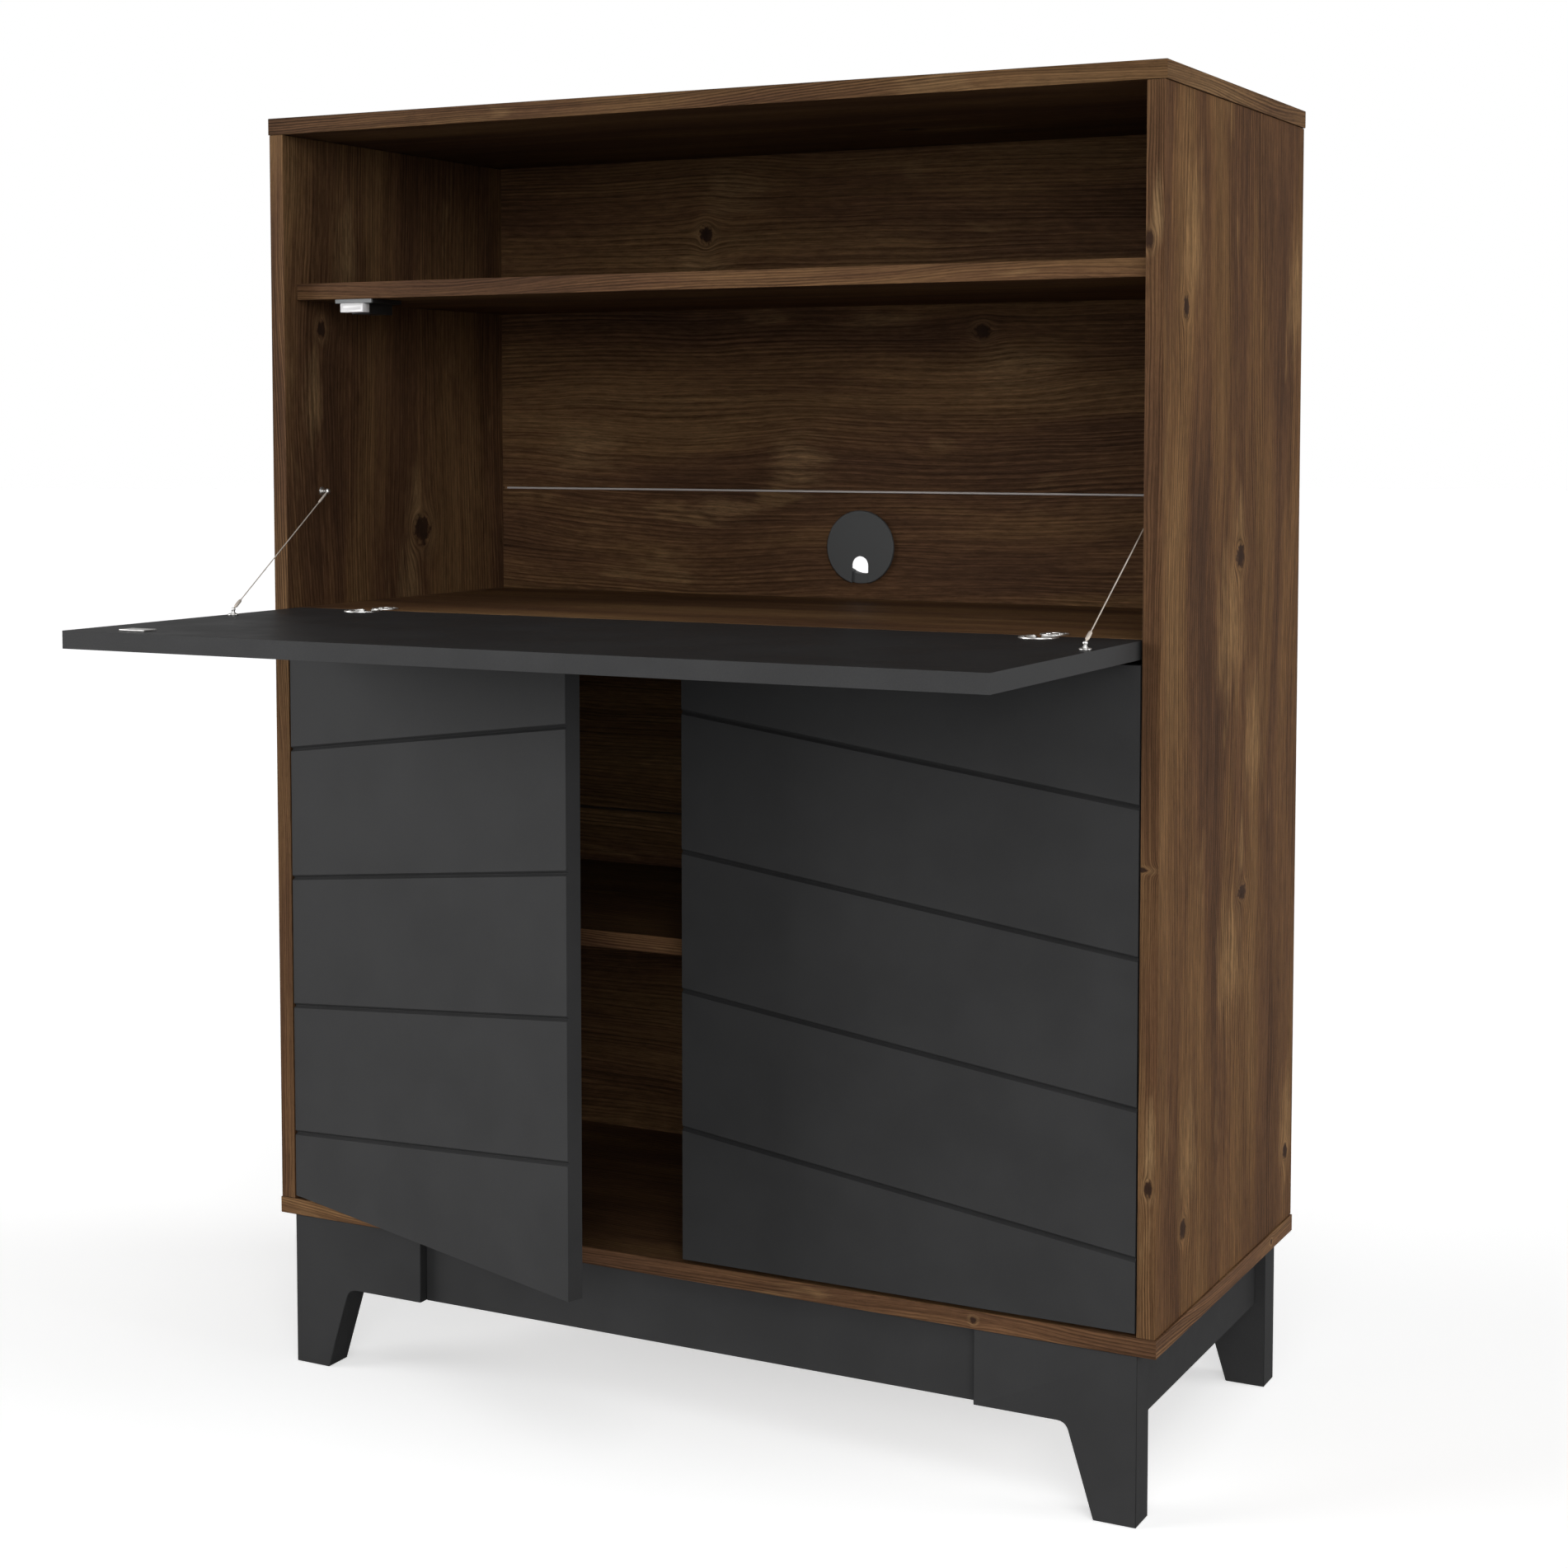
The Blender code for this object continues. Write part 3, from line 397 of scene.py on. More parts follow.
def grain_group():
    """Growth rings, streaks and fibres of a board, from its own two coordinates in metres."""
    tree, g, inside, out = new_group(
        "grain",
        ("Along", "Across", "Seed", "Edge", "Density", "Bend", "Core", "Gold"),
        (("Colour", "NodeSocketColor"), ("Roughness", "NodeSocketFloat"), ("Height", "NodeSocketFloat")),
    )
    along = inside["Along"]
    across = inside["Across"]
    seed = inside["Seed"]
    wander = g.grain_noise(along, across, WANDER, seed, 1.5)
    ripple = g.grain_noise(along, across, RIPPLE, seed)
    bent = g.add(across, inside["Bend"])
    bent = g.add(bent, g.times(g.subtract(wander, 0.5), WANDER_REACH))
    bent = g.add(bent, g.times(g.subtract(ripple, 0.5), RIPPLE_REACH))

    spacing = g.noise(g.vector(g.times(bent, RING_SPACING), seed, 3.3), 1.0, 2.0)
    ring = g.add(g.times(bent, inside["Density"]), g.times(spacing, RING_SPREAD))
    ring = g.math("FRACT", ring)
    late = g.times(g.between(ring, 0.30, 0.78), g.between(ring, 1.0, 0.88))
    strength = g.grain_noise(along, bent, RING_STRENGTH, g.add(seed, 5.0))
    late = g.times(late, g.between(strength, 0.32, 0.66, 0.25, 1.0))

    lines = g.grain_noise(along, bent, LINES, seed, 2.0, 0.6)
    dash = g.grain_noise(along, bent, DASHES, g.add(seed, 4.0), 3.0, 0.65)
    fibre = g.grain_noise(along, bent, FIBRES, seed, 2.0, 0.6)
    pore = g.between(g.grain_noise(along, bent, PORES, g.add(seed, 2.0), 1.0), 0.58, 0.72)

    zone = g.grain_noise(along, bent, ZONES, g.add(seed, 9.0), 4.0, 0.6)
    zone = g.add(zone, g.times(g.subtract(lines, 0.5), 0.16))
    tone = g.ramp(zone, ZONE_TONES)
    flake = g.grain_noise(along, bent, FLAKES, g.add(seed, 15.0), 3.0, 0.6)
    flake = g.add(flake, g.times(g.subtract(lines, 0.5), 0.10))
    tone = g.blend(g.times(g.between(flake, 0.63, 0.72), FLAKE_STRENGTH), tone, HONEY)
    tone = g.blend(g.times(inside["Gold"], g.add(0.35, g.times(fibre, 0.75))), tone, GOLD)

    shade = g.mix(inside["Edge"], FACE_SHADE, EDGE_SHADE)
    shade = g.subtract(shade, g.times(late, g.mix(inside["Edge"], RING_DEPTH, EDGE_RING_DEPTH)))
    shade = g.times(shade, g.mix(inside["Edge"], g.between(dash, 0.30, 0.70, *DASH_SHADES), 1.0))
    shade = g.times(shade, g.between(lines, 0.30, 0.70, *LINE_SHADES))
    shade = g.times(shade, g.between(fibre, 0.28, 0.72, *FIBRE_SHADES))
    shade = g.subtract(shade, g.times(pore, PORE_DEPTH))
    knot_colour = g.blend(fibre, KNOT, STREAK)
    wood = g.blend(inside["Core"], g.shaded(tone, shade), knot_colour)
    g.put(wood, out.inputs["Colour"])

    rough = g.add(LAMINATE_ROUGHNESS, g.times(late, 0.06))
    g.put(g.add(rough, g.times(pore, 0.08)), out.inputs["Roughness"])
    relief = g.subtract(g.times(fibre, 0.5), g.times(pore, 0.6))
    relief = g.subtract(relief, g.times(late, 0.4))
    g.put(g.subtract(relief, g.times(inside["Core"], 0.5)), out.inputs["Height"])
    return tree


KNOT_NODES = knot_group()
PATCH_NODES = patch_group()
GRAIN_NODES = grain_group()


def board_coordinates(g, coordinates, grain, is_back):
    """Along and across the grain on each face of a board, and 1 on its banded edges."""
    x, y, z = g.split(coordinates["Object"])
    normal = g.split(coordinates["Normal"])
    facing = [g.math("GREATER_THAN", g.math("ABSOLUTE", part), FACING) for part in normal]
    if grain == "X":
        along = g.mix(facing[0], x, y)
        across = g.mix(facing[2], z, y)
        edge = g.math("MAXIMUM", facing[0], facing[1])
    else:
        along = z
        across = g.mix(facing[0], x, y)
        edge = facing[1]
    return along, across, 0.0 if is_back else edge, normal, facing


def mark_flow(g, along, across, knots, patches):
    """Chains the knots and golden patches, and returns their bend, core and gold."""
    flow = dict.fromkeys(FLOW, 0.0)
    marks = [(KNOT_NODES, ("Radius", "Stretch"), knot) for knot in knots]
    marks += [(PATCH_NODES, ("Length", "Width"), patch) for patch in patches]
    for tree, sizes, (at_along, at_across, first, second) in marks:
        made = g.node("ShaderNodeGroup", node_tree=tree)
        values = {"Along": along, "Across": across, "At along": at_along, "At across": at_across}
        for socket, value in {**values, sizes[0]: first, sizes[1]: second, **flow}.items():
            g.put(value, made.inputs[socket])
        flow = {socket: made.outputs[socket] for socket in FLOW}
    return flow


def own_tone(g, colour, coordinates, normal, facing, own, tone):
    """Tones a side panel's two faces, a shelf's level faces, or the whole board. The face tones are
    painted light and shade.

    The back's rear becomes plain backing paper.
    """
    if own in ("left", "right"):
        # Painted light and shade on a side panel: its inner face takes the tone, its outer face the
        # painted tint
        inwards = normal[0] if own == "left" else g.times(normal[0], -1.0)
        painted_tint = g.blend(g.between(inwards, 0.4, 0.8), (1, 1, 1), (tone, tone, tone))
        painted_tint = g.blend(g.between(inwards, -0.4, -0.8), painted_tint, OUTER_PAINTED_TINT)
        return g.blend(1.0, colour, painted_tint, "MULTIPLY")
    if own == "flat":
        # Painted light above 1 and painted shade below 1 on the level faces
        return g.shaded(colour, g.mix(facing[2], 1.0, tone))
    colour = g.blend(1.0, colour, (tone, tone, tone), "MULTIPLY")
    if own == "back":
        paper = g.blend(g.noise(coordinates["Object"], 90.0, 4.0, 0.6), *BACKING)
        colour = g.blend(g.between(normal[1], 0.4, 0.8), colour, paper)
    return colour


def laminate(name, grain, seed, knots, patches, own, tone, gilt):
    """Wood-print laminate on a board whose grain runs along X or Z.

    Own names the faces that have the given tone: "left" and "right" are a side panel's inner
    face, "flat" the level faces, "back" and None the whole board. On a side panel's faces and on level
    faces the tone is painted light and shade. Gilt weakens the gold.
    """
    material, g, shader = new_material(name)
    coordinates = g.node("ShaderNodeTexCoord").outputs
    is_back = own == "back"
    along, across, edge, normal, facing = board_coordinates(g, coordinates, grain, is_back)
    flow = mark_flow(g, along, across, knots, patches)
    if gilt != 1.0:
        flow["Gold"] = g.times(flow["Gold"], gilt)

    total = g.add(g.add(normal[0], normal[1]), normal[2])
    side = g.math("GREATER_THAN", total, 0.0)
    own_seed = g.add(seed, g.add(g.times(side, 2.7), g.times(edge, 6.1)))
    density = FACE_DENSITY if is_back else g.mix(edge, FACE_DENSITY, EDGE_DENSITY)
    values = {"Along": along, "Across": across, "Seed": own_seed, "Edge": edge, "Density": density}
    made = g.node("ShaderNodeGroup", {**values, **flow}, node_tree=GRAIN_NODES)
    colour = own_tone(g, made.outputs["Colour"], coordinates, normal, facing, own, tone)
    g.put(colour, shader.inputs["Base Color"])
    g.put(made.outputs["Roughness"], shader.inputs["Roughness"])
    shader.inputs["Specular IOR Level"].default_value = LAMINATE_SPECULAR
    g.bump(made.outputs["Height"], 0.3, 0.0002, shader)
    return material


def charcoal(name, rough, peel, end=1.0, level=1.0, edge=1.0, groove_shade=1.0):
    """Satin charcoal lacquer with a faint orange peel and slight mottling.

    The end faces, level faces, upright faces (edge) and grooves can be darker or paler, as painted shade
    and painted light.
    """
    material, g, shader = new_material(name)
    coordinates = g.node("ShaderNodeTexCoord").outputs
    at = coordinates["Object"]
    mottle = g.noise(at, 14.0, 4.0, 0.6)
    grit = g.noise(at, 1400.0, 2.0, 0.6)
    spots = g.between(grit, 0.3, 0.7, *GRIT_SHADES)
    shade = g.times(g.between(mottle, 0.3, 0.7, *MOTTLE_SHADES), spots)
    normal = g.split(coordinates["Normal"])
    # Painted shade on the end faces, which look along X
    end_shade = g.between(g.math("ABSOLUTE", normal[0]), 0.5, 0.9, 1.0, end)
    shade = g.times(shade, end_shade)
    flat = g.math("ABSOLUTE", normal[2])
    # Painted shade on the grooves' slanted faces
    if groove_shade != 1.0:
        slope = g.times(g.between(flat, 0.25, 0.45), g.between(flat, 0.95, 0.85))
        shade = g.times(shade, g.mix(slope, 1.0, groove_shade))
    # Painted shade on level faces and painted light on upright faces
    if level != 1.0:
        shade = g.times(shade, g.between(flat, 0.4, 0.8, edge, level))
    g.put(g.shaded(CHARCOAL, shade), shader.inputs["Base Color"])
    g.put(g.between(mottle, 0.3, 0.7, rough - 0.04, rough + 0.05), shader.inputs["Roughness"])
    shader.inputs["Specular IOR Level"].default_value = CHARCOAL_SPECULAR
    bumps = g.add(g.noise(at, 420.0, 3.0, 0.55), g.times(grit, 0.5))
    g.bump(bumps, peel, 0.0002, shader)
    return material


def metal(name, colour, rough, metallic=1.0):
    """Bright metal, a little uneven, with fine drawing lines."""
    material, g, shader = new_material(name)
    x, y, z = g.split(g.node("ShaderNodeTexCoord").outputs["Object"])
    wide, fine = METAL_LINES
    lines = g.noise(g.vector(g.times(x, wide), g.times(y, fine), g.times(z, fine)), 1.0, 2.0)
    smear = g.noise(g.vector(x, y, z), 120.0, 3.0, 0.6)
    darker = [channel * METAL_WORN for channel in colour]
    g.put(g.blend(g.between(smear, 0.35, 0.75), colour, darker), shader.inputs["Base Color"])
    shader.inputs["Metallic"].default_value = metallic
    wear = g.add(g.times(lines, 0.06), g.between(smear, 0.3, 0.7, 0.0, 0.08))
    g.put(g.add(rough, wear), shader.inputs["Roughness"])
    g.bump(lines, 0.08, 0.0001, shader)
    return material


def plastic(name, colour, rough, grain, painted_shade_behind=None):
    """Moulded plastic with a fine eroded texture. Behind a given depth, in Y, it can be painted near
    black as painted shade.
    """
    material, g, shader = new_material(name)
    at = g.node("ShaderNodeTexCoord").outputs["Object"]
    cloud = g.noise(at, 60.0, 3.0, 0.6)
    dark = [channel * 0.94 for channel in colour]
    pale = [channel * 1.06 for channel in colour]
    shown = g.blend(cloud, dark, pale)
    # Painted shade: near black behind the given depth
    if painted_shade_behind is not None:
        behind = g.math("GREATER_THAN", g.split(at)[1], painted_shade_behind)
        shown = g.blend(behind, shown, LATCH_PAINTED_SHADE)
    g.put(shown, shader.inputs["Base Color"])
    g.put(g.between(cloud, 0.3, 0.7, rough - 0.05, rough + 0.05), shader.inputs["Roughness"])
    g.bump(g.noise(at, 2200.0, 2.0), grain, 0.0001, shader)
    return material


def soften_tree():
    """Welds the imported triangles, drops their stored normals and marks creases sharp."""
    tree = bpy.data.node_groups.new("soften", "GeometryNodeTree")
    tree.interface.new_socket("Geometry", in_out="INPUT", socket_type="NodeSocketGeometry")
    tree.interface.new_socket("Geometry", in_out="OUTPUT", socket_type="NodeSocketGeometry")
    g = Graph(tree)
    start = g.node("NodeGroupInput").outputs[0]
    bare = g.node("GeometryNodeRemoveAttribute", {"Geometry": start, "Name": "custom_normal"})
    weld = g.node("GeometryNodeMergeByDistance", {"Geometry": bare.outputs[0], "Distance": WELD_REACH})
    faces = g.node("GeometryNodeSetShadeSmooth", {"Geometry": weld.outputs[0]}, domain="FACE")
    angle = g.node("GeometryNodeInputMeshEdgeAngle").outputs[0]
    smooth = g.math("LESS_THAN", angle, SMOOTH_ANGLE)
    inputs = {"Geometry": faces.outputs[0], "Shade Smooth": smooth}
    edges = g.node("GeometryNodeSetShadeSmooth", inputs, domain="EDGE")
    g.put(edges.outputs[0], g.node("NodeGroupOutput").inputs[0])
    return tree


SOFTEN = soften_tree()


def finish(node, material, edge):
    """Gives a CAD node its material, and rounds its sharp edges by a fraction of a millimetre."""
    piece = frame["nodes"][node]
    piece.data.materials.clear()
    piece.data.materials.append(material)
    piece.modifiers.new("soften", "NODES").node_group = SOFTEN
    if edge:
        bevel = piece.modifiers.new("edge", "BEVEL")
        bevel.width = edge
        bevel.segments = 2
        bevel.limit_method = "ANGLE"
        bevel.angle_limit = SMOOTH_ANGLE
        bevel.harden_normals = True


def link_new(name, data):
    made = bpy.data.objects.new(name, data)
    bpy.context.scene.collection.objects.link(made)
    return made


def add_piece(name, mesh, material, body):
    """Links a new mesh as a piece that rides on a body."""
    piece = link_new(name, mesh)
    mesh.materials.append(material)
    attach(piece, body)
    return piece


def lathe(name, profile, start, way, sides=LATHE_SIDES):
    """A turned shape about the line from start along way. The profile is (distance, radius)."""
    turn = Vector(way).to_track_quat("Z", "Y").to_matrix().to_4x4()
    place = Matrix.Translation(start) @ turn
    shape = bmesh.new()
    rings = []
    for distance, radius in profile:
        if radius == 0:
            rings.append([shape.verts.new(place @ Vector((0, 0, distance)))] * sides)
            continue
        spots = [spot_on_circle(k, sides, radius, distance) for k in range(sides)]
        rings.append([shape.verts.new(place @ spot) for spot in spots])
    join_rings(shape, rings)
    return as_mesh(name, shape)


def spot_on_circle(step, steps, radius, height):
    angle = 2 * math.pi * step / steps
    return Vector((radius * math.cos(angle), radius * math.sin(angle), height))


def join_rings(shape, rings):
    """Skins neighbouring rings of points, and closes an open end with a cap."""
    for low, high in zip(rings, rings[1:]):
        for k in range(len(low)):
            after = (k + 1) % len(low)
            corners = list(dict.fromkeys((low[k], low[after], high[after], high[k])))
            if len(corners) > 2:
                shape.faces.new(corners)
    for ring in (rings[0], rings[-1]):
        if len(set(ring)) > 2:
            shape.faces.new(ring)
    bmesh.ops.recalc_face_normals(shape, faces=shape.faces)


def as_mesh(name, shape):
    mesh = bpy.data.meshes.new(name)
    shape.to_mesh(mesh)
    shape.free()
    mesh.shade_smooth()
    mesh.set_sharp_from_angle(angle=PIECE_SMOOTH_ANGLE)
    return mesh


def stay_mesh(name, side_point, flap_point):
    """A stranded steel rope with a crimp at the side panel's end and a ferrule at the flap's."""
    way = flap_point - side_point
    length = way.length
    place = Matrix.Translation(side_point) @ way.to_track_quat("Z", "Y").to_matrix().to_4x4()
    crimp = [(CRIMP_START + at, radius) for at, radius in CRIMP]
    ferrule = [(length - FERRULE_START - at, radius) for at, radius in reversed(FERRULE)]
    start = crimp[-1][0]
    span = ferrule[0][0] - start
    rope = [(start + span * k / ROPE_STEPS, 0) for k in range(ROPE_STEPS + 1)]
    shape = bmesh.new()
    rings = []
    sides = ROPE_STRANDS * STRAND_SIDES
    for distance, radius in crimp + rope + ferrule:
        ring = []
        for k in range(sides):
            angle = 2 * math.pi * k / sides
            strand = math.cos(ROPE_STRANDS * angle + 2 * math.pi * distance / ROPE_TURN)
            reach = radius or ROPE_RADIUS * (1 + ROPE_RELIEF * strand)
            ring.append(shape.verts.new(place @ spot_on_circle(k, sides, reach, distance)))
        rings.append(ring)
    join_rings(shape, rings)
    return as_mesh(name, shape)


def add_stay(side, sign):
    side_point = Vector((sign * STAY_SIDE_POINT[0], *STAY_SIDE_POINT[1:]))
    flap_point = Vector((sign * STAY_FLAP_POINT[0], *STAY_FLAP_POINT[1:]))
    rope = link_new(f"stay_{side}", stay_mesh(f"stay_{side}", side_point, flap_point))
    rope.data.materials.append(ROPE)
    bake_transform(rope)
    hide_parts(f"stay_cable_{side}")

    low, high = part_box(f"stay_side_post_{side}")
    start = Vector((high[0] if sign > 0 else low[0], side_point.y, side_point.z))
    post = lathe(f"side_post_{side}", SIDE_POST, start, (-sign, 0, 0))
    post = add_piece(f"side_post_{side}", post, BRIGHT_STEEL, "cabinet")
    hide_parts(f"stay_side_post_{side}")
    low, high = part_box(f"stay_flap_post_{side}")
    foot = Vector((flap_point.x, flap_point.y, low[2]))
    post = lathe(f"flap_post_{side}", FLAP_POST, foot, (0, 0, 1))
    post = add_piece(f"flap_post_{side}", post, BRIGHT_STEEL, "flap")
    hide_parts(f"stay_flap_post_{side}")


def ring_profile(radius, tube, steps=10):
    """A round bead's section, for a lathe, standing tube above its start."""
    section = []
    for k in range(steps + 1):
        angle = math.pi * k / steps
        section.append((tube * math.sin(angle), radius + tube * math.cos(angle)))
    return section


def add_hinge_trim(side, sign):
    """Beads and screw heads on the flap's hinge cup and on the deck's round plate."""
    low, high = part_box(f"flap_hinge_cup_{side}")
    cup = Vector(((low[0] + high[0]) / 2, (low[1] + high[1]) / 2, high[2] - TRIM_SINK))
    add_open_bead(f"flap_hinge_rim_{side}", cup, *CUP_RIM)
    inner = cup + Vector((0, CUP_INNER_RIM_SHIFT, -TRIM_SINK))
    add_open_bead(f"flap_hinge_inner_rim_{side}", inner, *CUP_INNER_RIM)
    for end in (-1, 1):
        across, back = CUP_SCREW_PLACE
        spot = cup + Vector((end * across, back, -TRIM_SINK))
        where = "outer" if end == sign else "inner"
        add_screw(f"flap_hinge_screw_{side}_{where}", spot, CUP_SCREW_RADIUS, "flap")
    low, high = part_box(f"flap_hinge_arm_{side}")
    plate_y = high[1] - PLATE_FROM_ARM_END
    plate = Vector(((low[0] + high[0]) / 2, plate_y, high[2] - TRIM_SINK))
    bead = lathe(f"deck_hinge_rim_{side}", ring_profile(*PLATE_RIM), plate, (0, 0, 1), BEAD_SIDES)
    add_piece(f"deck_hinge_rim_{side}", bead, BRIGHT_STEEL, "cabinet")
    for end in (-1, 1):
        across, back = PLATE_SCREW_PLACE
        spot = plate + Vector((end * across, back, 0))
        where = "outer" if end == sign else "inner"
        add_screw(f"deck_hinge_screw_{side}_{where}", spot, PLATE_SCREW_RADIUS, "cabinet")


def add_open_bead(name, centre, radius, tube):
    """A half-round bead on a circle, open at the back where the hinge arm passes."""
    gap = math.asin(HINGE_SLOT / radius)
    section = ring_profile(radius, tube)
    shape = bmesh.new()
    rings = []
    for k in range(BEAD_SIDES + 1):
        turn = gap + 2 * (math.pi - gap) * k / BEAD_SIDES
        way = Vector((math.sin(turn), math.cos(turn), 0))
        spots = [centre + way * out + Vector((0, 0, up)) for up, out in section]
        rings.append([shape.verts.new(spot) for spot in spots])
    join_rings(shape, rings)
    add_piece(name, as_mesh(name, shape), BRIGHT_STEEL, "flap")


def add_screw(name, centre, radius, body):
    """A low pan head with a cross recess."""
    shape = bmesh.new()
    rings = []
    for height, reach in SCREW_PROFILE:
        if reach == 0.0:
            bottom = centre + Vector((0, 0, (height - SCREW_RECESS) * radius))
            rings.append([shape.verts.new(bottom)] * SCREW_SIDES)
            continue
        ring = []
        for k in range(SCREW_SIDES):
            in_cross = abs(math.sin(4 * math.pi * k / SCREW_SIDES)) < SCREW_RECESS_WIDTH
            sunk = SCREW_RECESS if in_cross and reach < SCREW_RECESS_REACH else 0.0
            lift = (height - sunk) * radius
            spot = spot_on_circle(k, SCREW_SIDES, radius * reach, lift)
            ring.append(shape.verts.new(centre + spot))
        rings.append(ring)
    join_rings(shape, rings)
    add_piece(name, as_mesh(name, shape), BRIGHT_STEEL, body)


def add_catch(node, body, depth):
    """A magnet block whose front has a raised rim round a sunk pole plate, on a stem."""
    low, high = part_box(node)
    shape = bmesh.new()
    bmesh.ops.create_cube(shape, size=1)
    size = Vector((high[0] - low[0], depth, high[2] - low[2]))
    bmesh.ops.scale(shape, vec=size, verts=shape.verts)
    middle = Vector(((low[0] + high[0]) / 2, low[1] + depth / 2, (low[2] + high[2]) / 2))
    bmesh.ops.translate(shape, vec=middle, verts=shape.verts)
    edges = shape.edges[:]
    bmesh.ops.bevel(shape, geom=edges, offset=CATCH_EDGE, segments=2, affect="EDGES", profile=0.5)
    front = min(shape.faces, key=lambda face: face.calc_center_median().y)
    for inset, sink in CATCH_STEPS:
        bmesh.ops.inset_region(shape, faces=[front], thickness=inset, depth=0, use_even_offset=True)
        bmesh.ops.translate(shape, vec=(0, sink, 0), verts=front.verts)
    catch = add_piece(f"{node}_block", as_mesh(node, shape), WHITE, body)
    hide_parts(node)
    start = Vector((middle.x, low[1] + depth - STEM_SINK, middle.z))
    stem = lathe(f"{node}_stem", STEM, start, (0, 1, 0))
    add_piece(f"{node}_stem", stem, NICKEL, body)


def direction(azimuth, elevation):
    """From the object outwards. Azimuth is in degrees from the front towards the right."""
    turn = math.radians(azimuth)
    rise = math.radians(elevation)
    level = math.cos(rise)
    return Vector((math.sin(turn) * level, -math.cos(turn) * level, math.sin(rise)))


def make_camera():
    data = bpy.data.cameras.new("camera")
    data.sensor_width = CAMERA_SENSOR
    data.lens = CAMERA_LENS
    data.shift_y = CAMERA_RISE
    camera = link_new("camera", data)
    back = direction(CAMERA_AZIMUTH, CAMERA_ELEVATION)
    camera.rotation_mode = "QUATERNION"
    camera.rotation_quaternion = (-back).to_track_quat("-Z", "Y")
    camera.location = CAMERA_PLACE
    bpy.context.scene.camera = camera


def make_light():
    for name, azimuth, elevation, strength in SUNS:
        data = bpy.data.lights.new(name, "SUN")
        data.energy = strength
        data.angle = math.radians(SUN_SOFTNESS)
        towards = direction(azimuth, elevation)
        link_new(name, data).rotation_euler = towards.to_track_quat("Z", "Y").to_euler()
    world = bpy.data.worlds.new("studio")
    world.use_nodes = True
    bpy.context.scene.world = world
    g = Graph(world.node_tree)
    world.node_tree.nodes.clear()
    ray = g.node("ShaderNodeLightPath").outputs
    glow = g.mix(ray["Is Glossy Ray"], SKY_ON_OBJECT, SKY_IN_REFLECTIONS)
    glow = g.mix(ray["Is Camera Ray"], glow, 1.0)
    sky = g.node("ShaderNodeBackground", {"Color": (1, 1, 1), "Strength": glow})
    g.put(sky.outputs[0], g.node("ShaderNodeOutputWorld").inputs["Surface"])
    bpy.context.scene.view_settings.view_transform = "Standard"


def make_floor():
    shape = bmesh.new()
    bmesh.ops.create_circle(shape, cap_ends=True, segments=FLOOR_SIDES, radius=FLOOR_REACH)
    mesh = bpy.data.meshes.new("floor")
    shape.to_mesh(mesh)
    shape.free()
    material, g, shader = new_material("pale_floor")
    at = g.node("ShaderNodeTexCoord").outputs["Object"]
    cloud = g.noise(at, 0.8, 3.0)
    g.put(g.blend(cloud, *FLOOR_SHADES), shader.inputs["Base Color"])
    shader.inputs["Roughness"].default_value = FLOOR_ROUGHNESS
    shader.inputs["Specular IOR Level"].default_value = 0.0
    shader.inputs["Emission Color"].default_value = (1, 1, 1, 1)
    seen = g.node("ShaderNodeLightPath").outputs["Is Camera Ray"]
    g.put(g.times(seen, FLOOR_GLOW), shader.inputs["Emission Strength"])
    mesh.materials.append(material)
    floor = link_new("floor", mesh)
    floor.location.z = FLOOR_LEVEL


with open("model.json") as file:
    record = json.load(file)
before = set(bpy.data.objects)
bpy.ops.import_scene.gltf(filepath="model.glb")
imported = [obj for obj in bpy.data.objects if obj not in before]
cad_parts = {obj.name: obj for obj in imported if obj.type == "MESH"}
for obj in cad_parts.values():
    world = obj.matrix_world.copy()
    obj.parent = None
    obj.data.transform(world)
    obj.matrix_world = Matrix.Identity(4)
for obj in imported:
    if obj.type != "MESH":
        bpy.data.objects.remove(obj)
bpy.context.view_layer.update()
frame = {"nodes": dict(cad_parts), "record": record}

make_camera()
make_light()
make_floor()

for node, name, grain, seed, knots, patches, own, tone, gilt in BOARDS:
    finish(node, laminate(name, grain, seed, knots, patches, own, tone, gilt), BOARD_EDGE)
BACK = laminate("back", "X", 83.7, BACK_KNOTS, BACK_PATCHES, own="back", tone=1.05, gilt=0.55)
for height in ("upper", "middle", "lower"):
    finish(f"back_panel_{height}", BACK, 0)
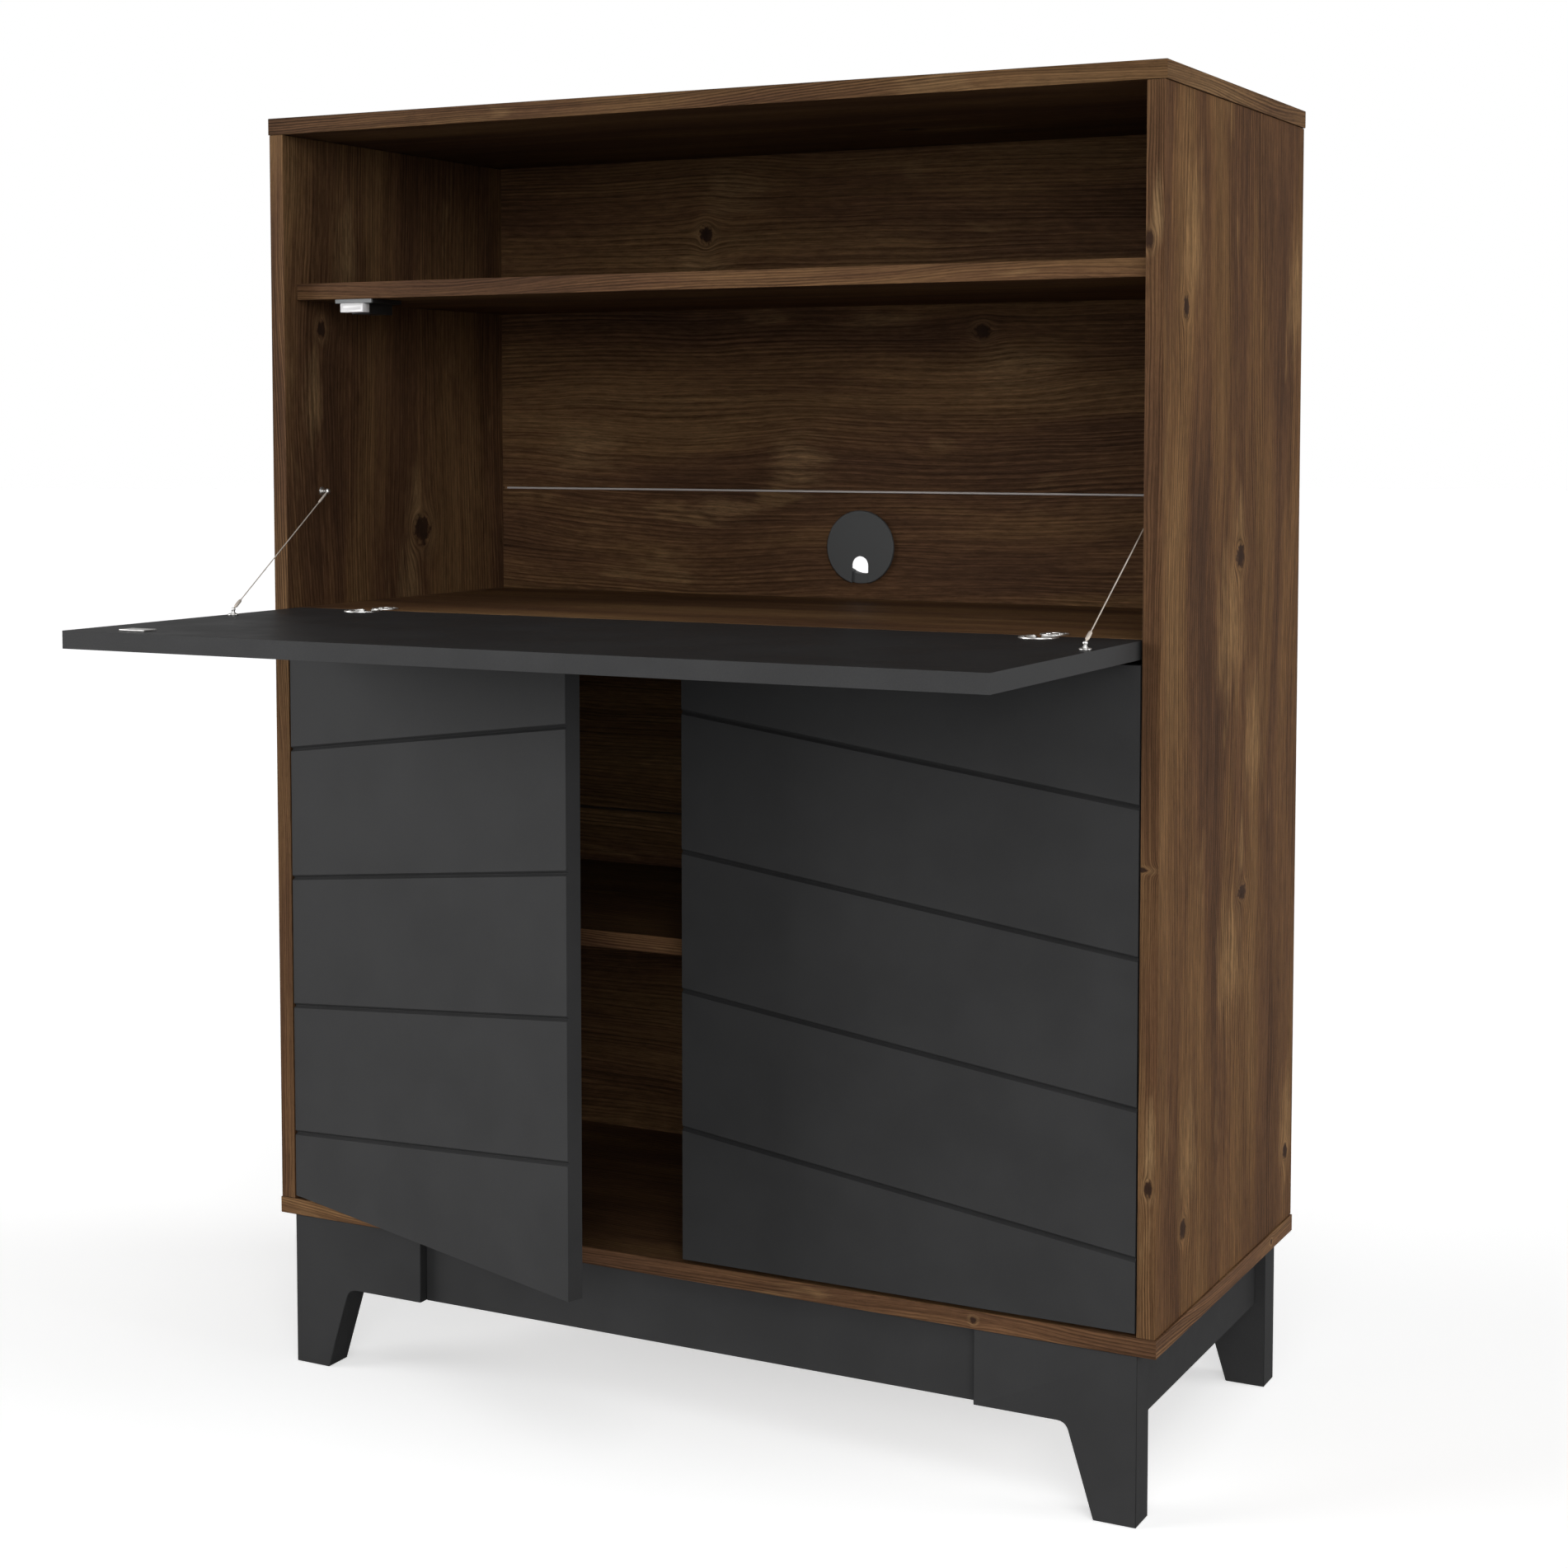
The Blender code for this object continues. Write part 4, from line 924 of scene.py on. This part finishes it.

# End, level, upright and groove factors are painted shade and painted light: the flap's top is darkened
# and its upright faces paled
PANEL = charcoal("charcoal_panel", rough=0.46, peel=0.05, end=0.76, groove_shade=0.70)
PAINT = charcoal("charcoal_paint", rough=0.55, peel=0.20, end=0.66)
FLAP = charcoal("charcoal_flap", rough=0.46, peel=0.05, end=0.80, level=0.62, edge=1.3)
finish("flap", FLAP, PANEL_EDGE)
for side, _ in SIDES:
    finish(f"door_{side}", PANEL, PANEL_EDGE)
for place in ("front", "rear", "left", "right"):
    finish(f"apron_{place}", PAINT, PANEL_EDGE)
for end in ("front", "rear"):
    for side, _ in SIDES:
        finish(f"leg_{end}_{side}", PAINT, LEG_EDGE)

NICKEL = metal("nickel", NICKEL_COLOUR, rough=0.31)
BRIGHT_STEEL = metal("bright_steel", STEEL_COLOUR, rough=0.29)
ROPE = metal("steel_rope", ROPE_COLOUR, rough=0.40, metallic=0.3)
STRIP = plastic("strip", STRIP_COLOUR, rough=0.4, grain=0.05)
DARK_STRIP = plastic("dark_strip", DARK_STRIP_COLOUR, rough=0.5, grain=0.05)
GREY = plastic("grey_plastic", GREY_COLOUR, rough=0.5, grain=0.15)
WHITE = plastic("white_plastic", WHITE_COLOUR, rough=0.35, grain=0.05)
DARK = plastic("dark_plastic", DARK_COLOUR, rough=0.45, grain=0.2)
# The latch housing's plastic, painted near black behind its plate as painted shade
LATCH = plastic("latch_plastic_painted_shade", GREY_COLOUR, 0.5, 0.15, painted_shade_behind=LATCH_PLATE_REACH)
SLOT_MATERIALS = {
    "nickel_steel": NICKEL, "grey_plastic": GREY, "white_plastic": WHITE, "dark_plastic": DARK,
}
NODE_MATERIALS = {
    "back_joint_strip_upper": STRIP,
    "back_joint_strip_lower": DARK_STRIP,
    "flap_latch_housing": LATCH,
}
for part in frame["record"]["subparts"]:
    node = part["node"]
    if part["material_slot"] in SLOT_MATERIALS:
        material = NODE_MATERIALS.get(node, SLOT_MATERIALS[part["material_slot"]])
        finish(node, material, METAL_EDGE)

for side, sign in SIDES:
    add_stay(side, sign)
    add_hinge_trim(side, sign)
add_catch("flap_latch_magnet", "flap_latch_button", FLAP_CATCH_DEPTH)
for side, _ in SIDES:
    add_catch(f"door_latch_magnet_{side}", f"{side}_latch_button", DOOR_CATCH_DEPTH)
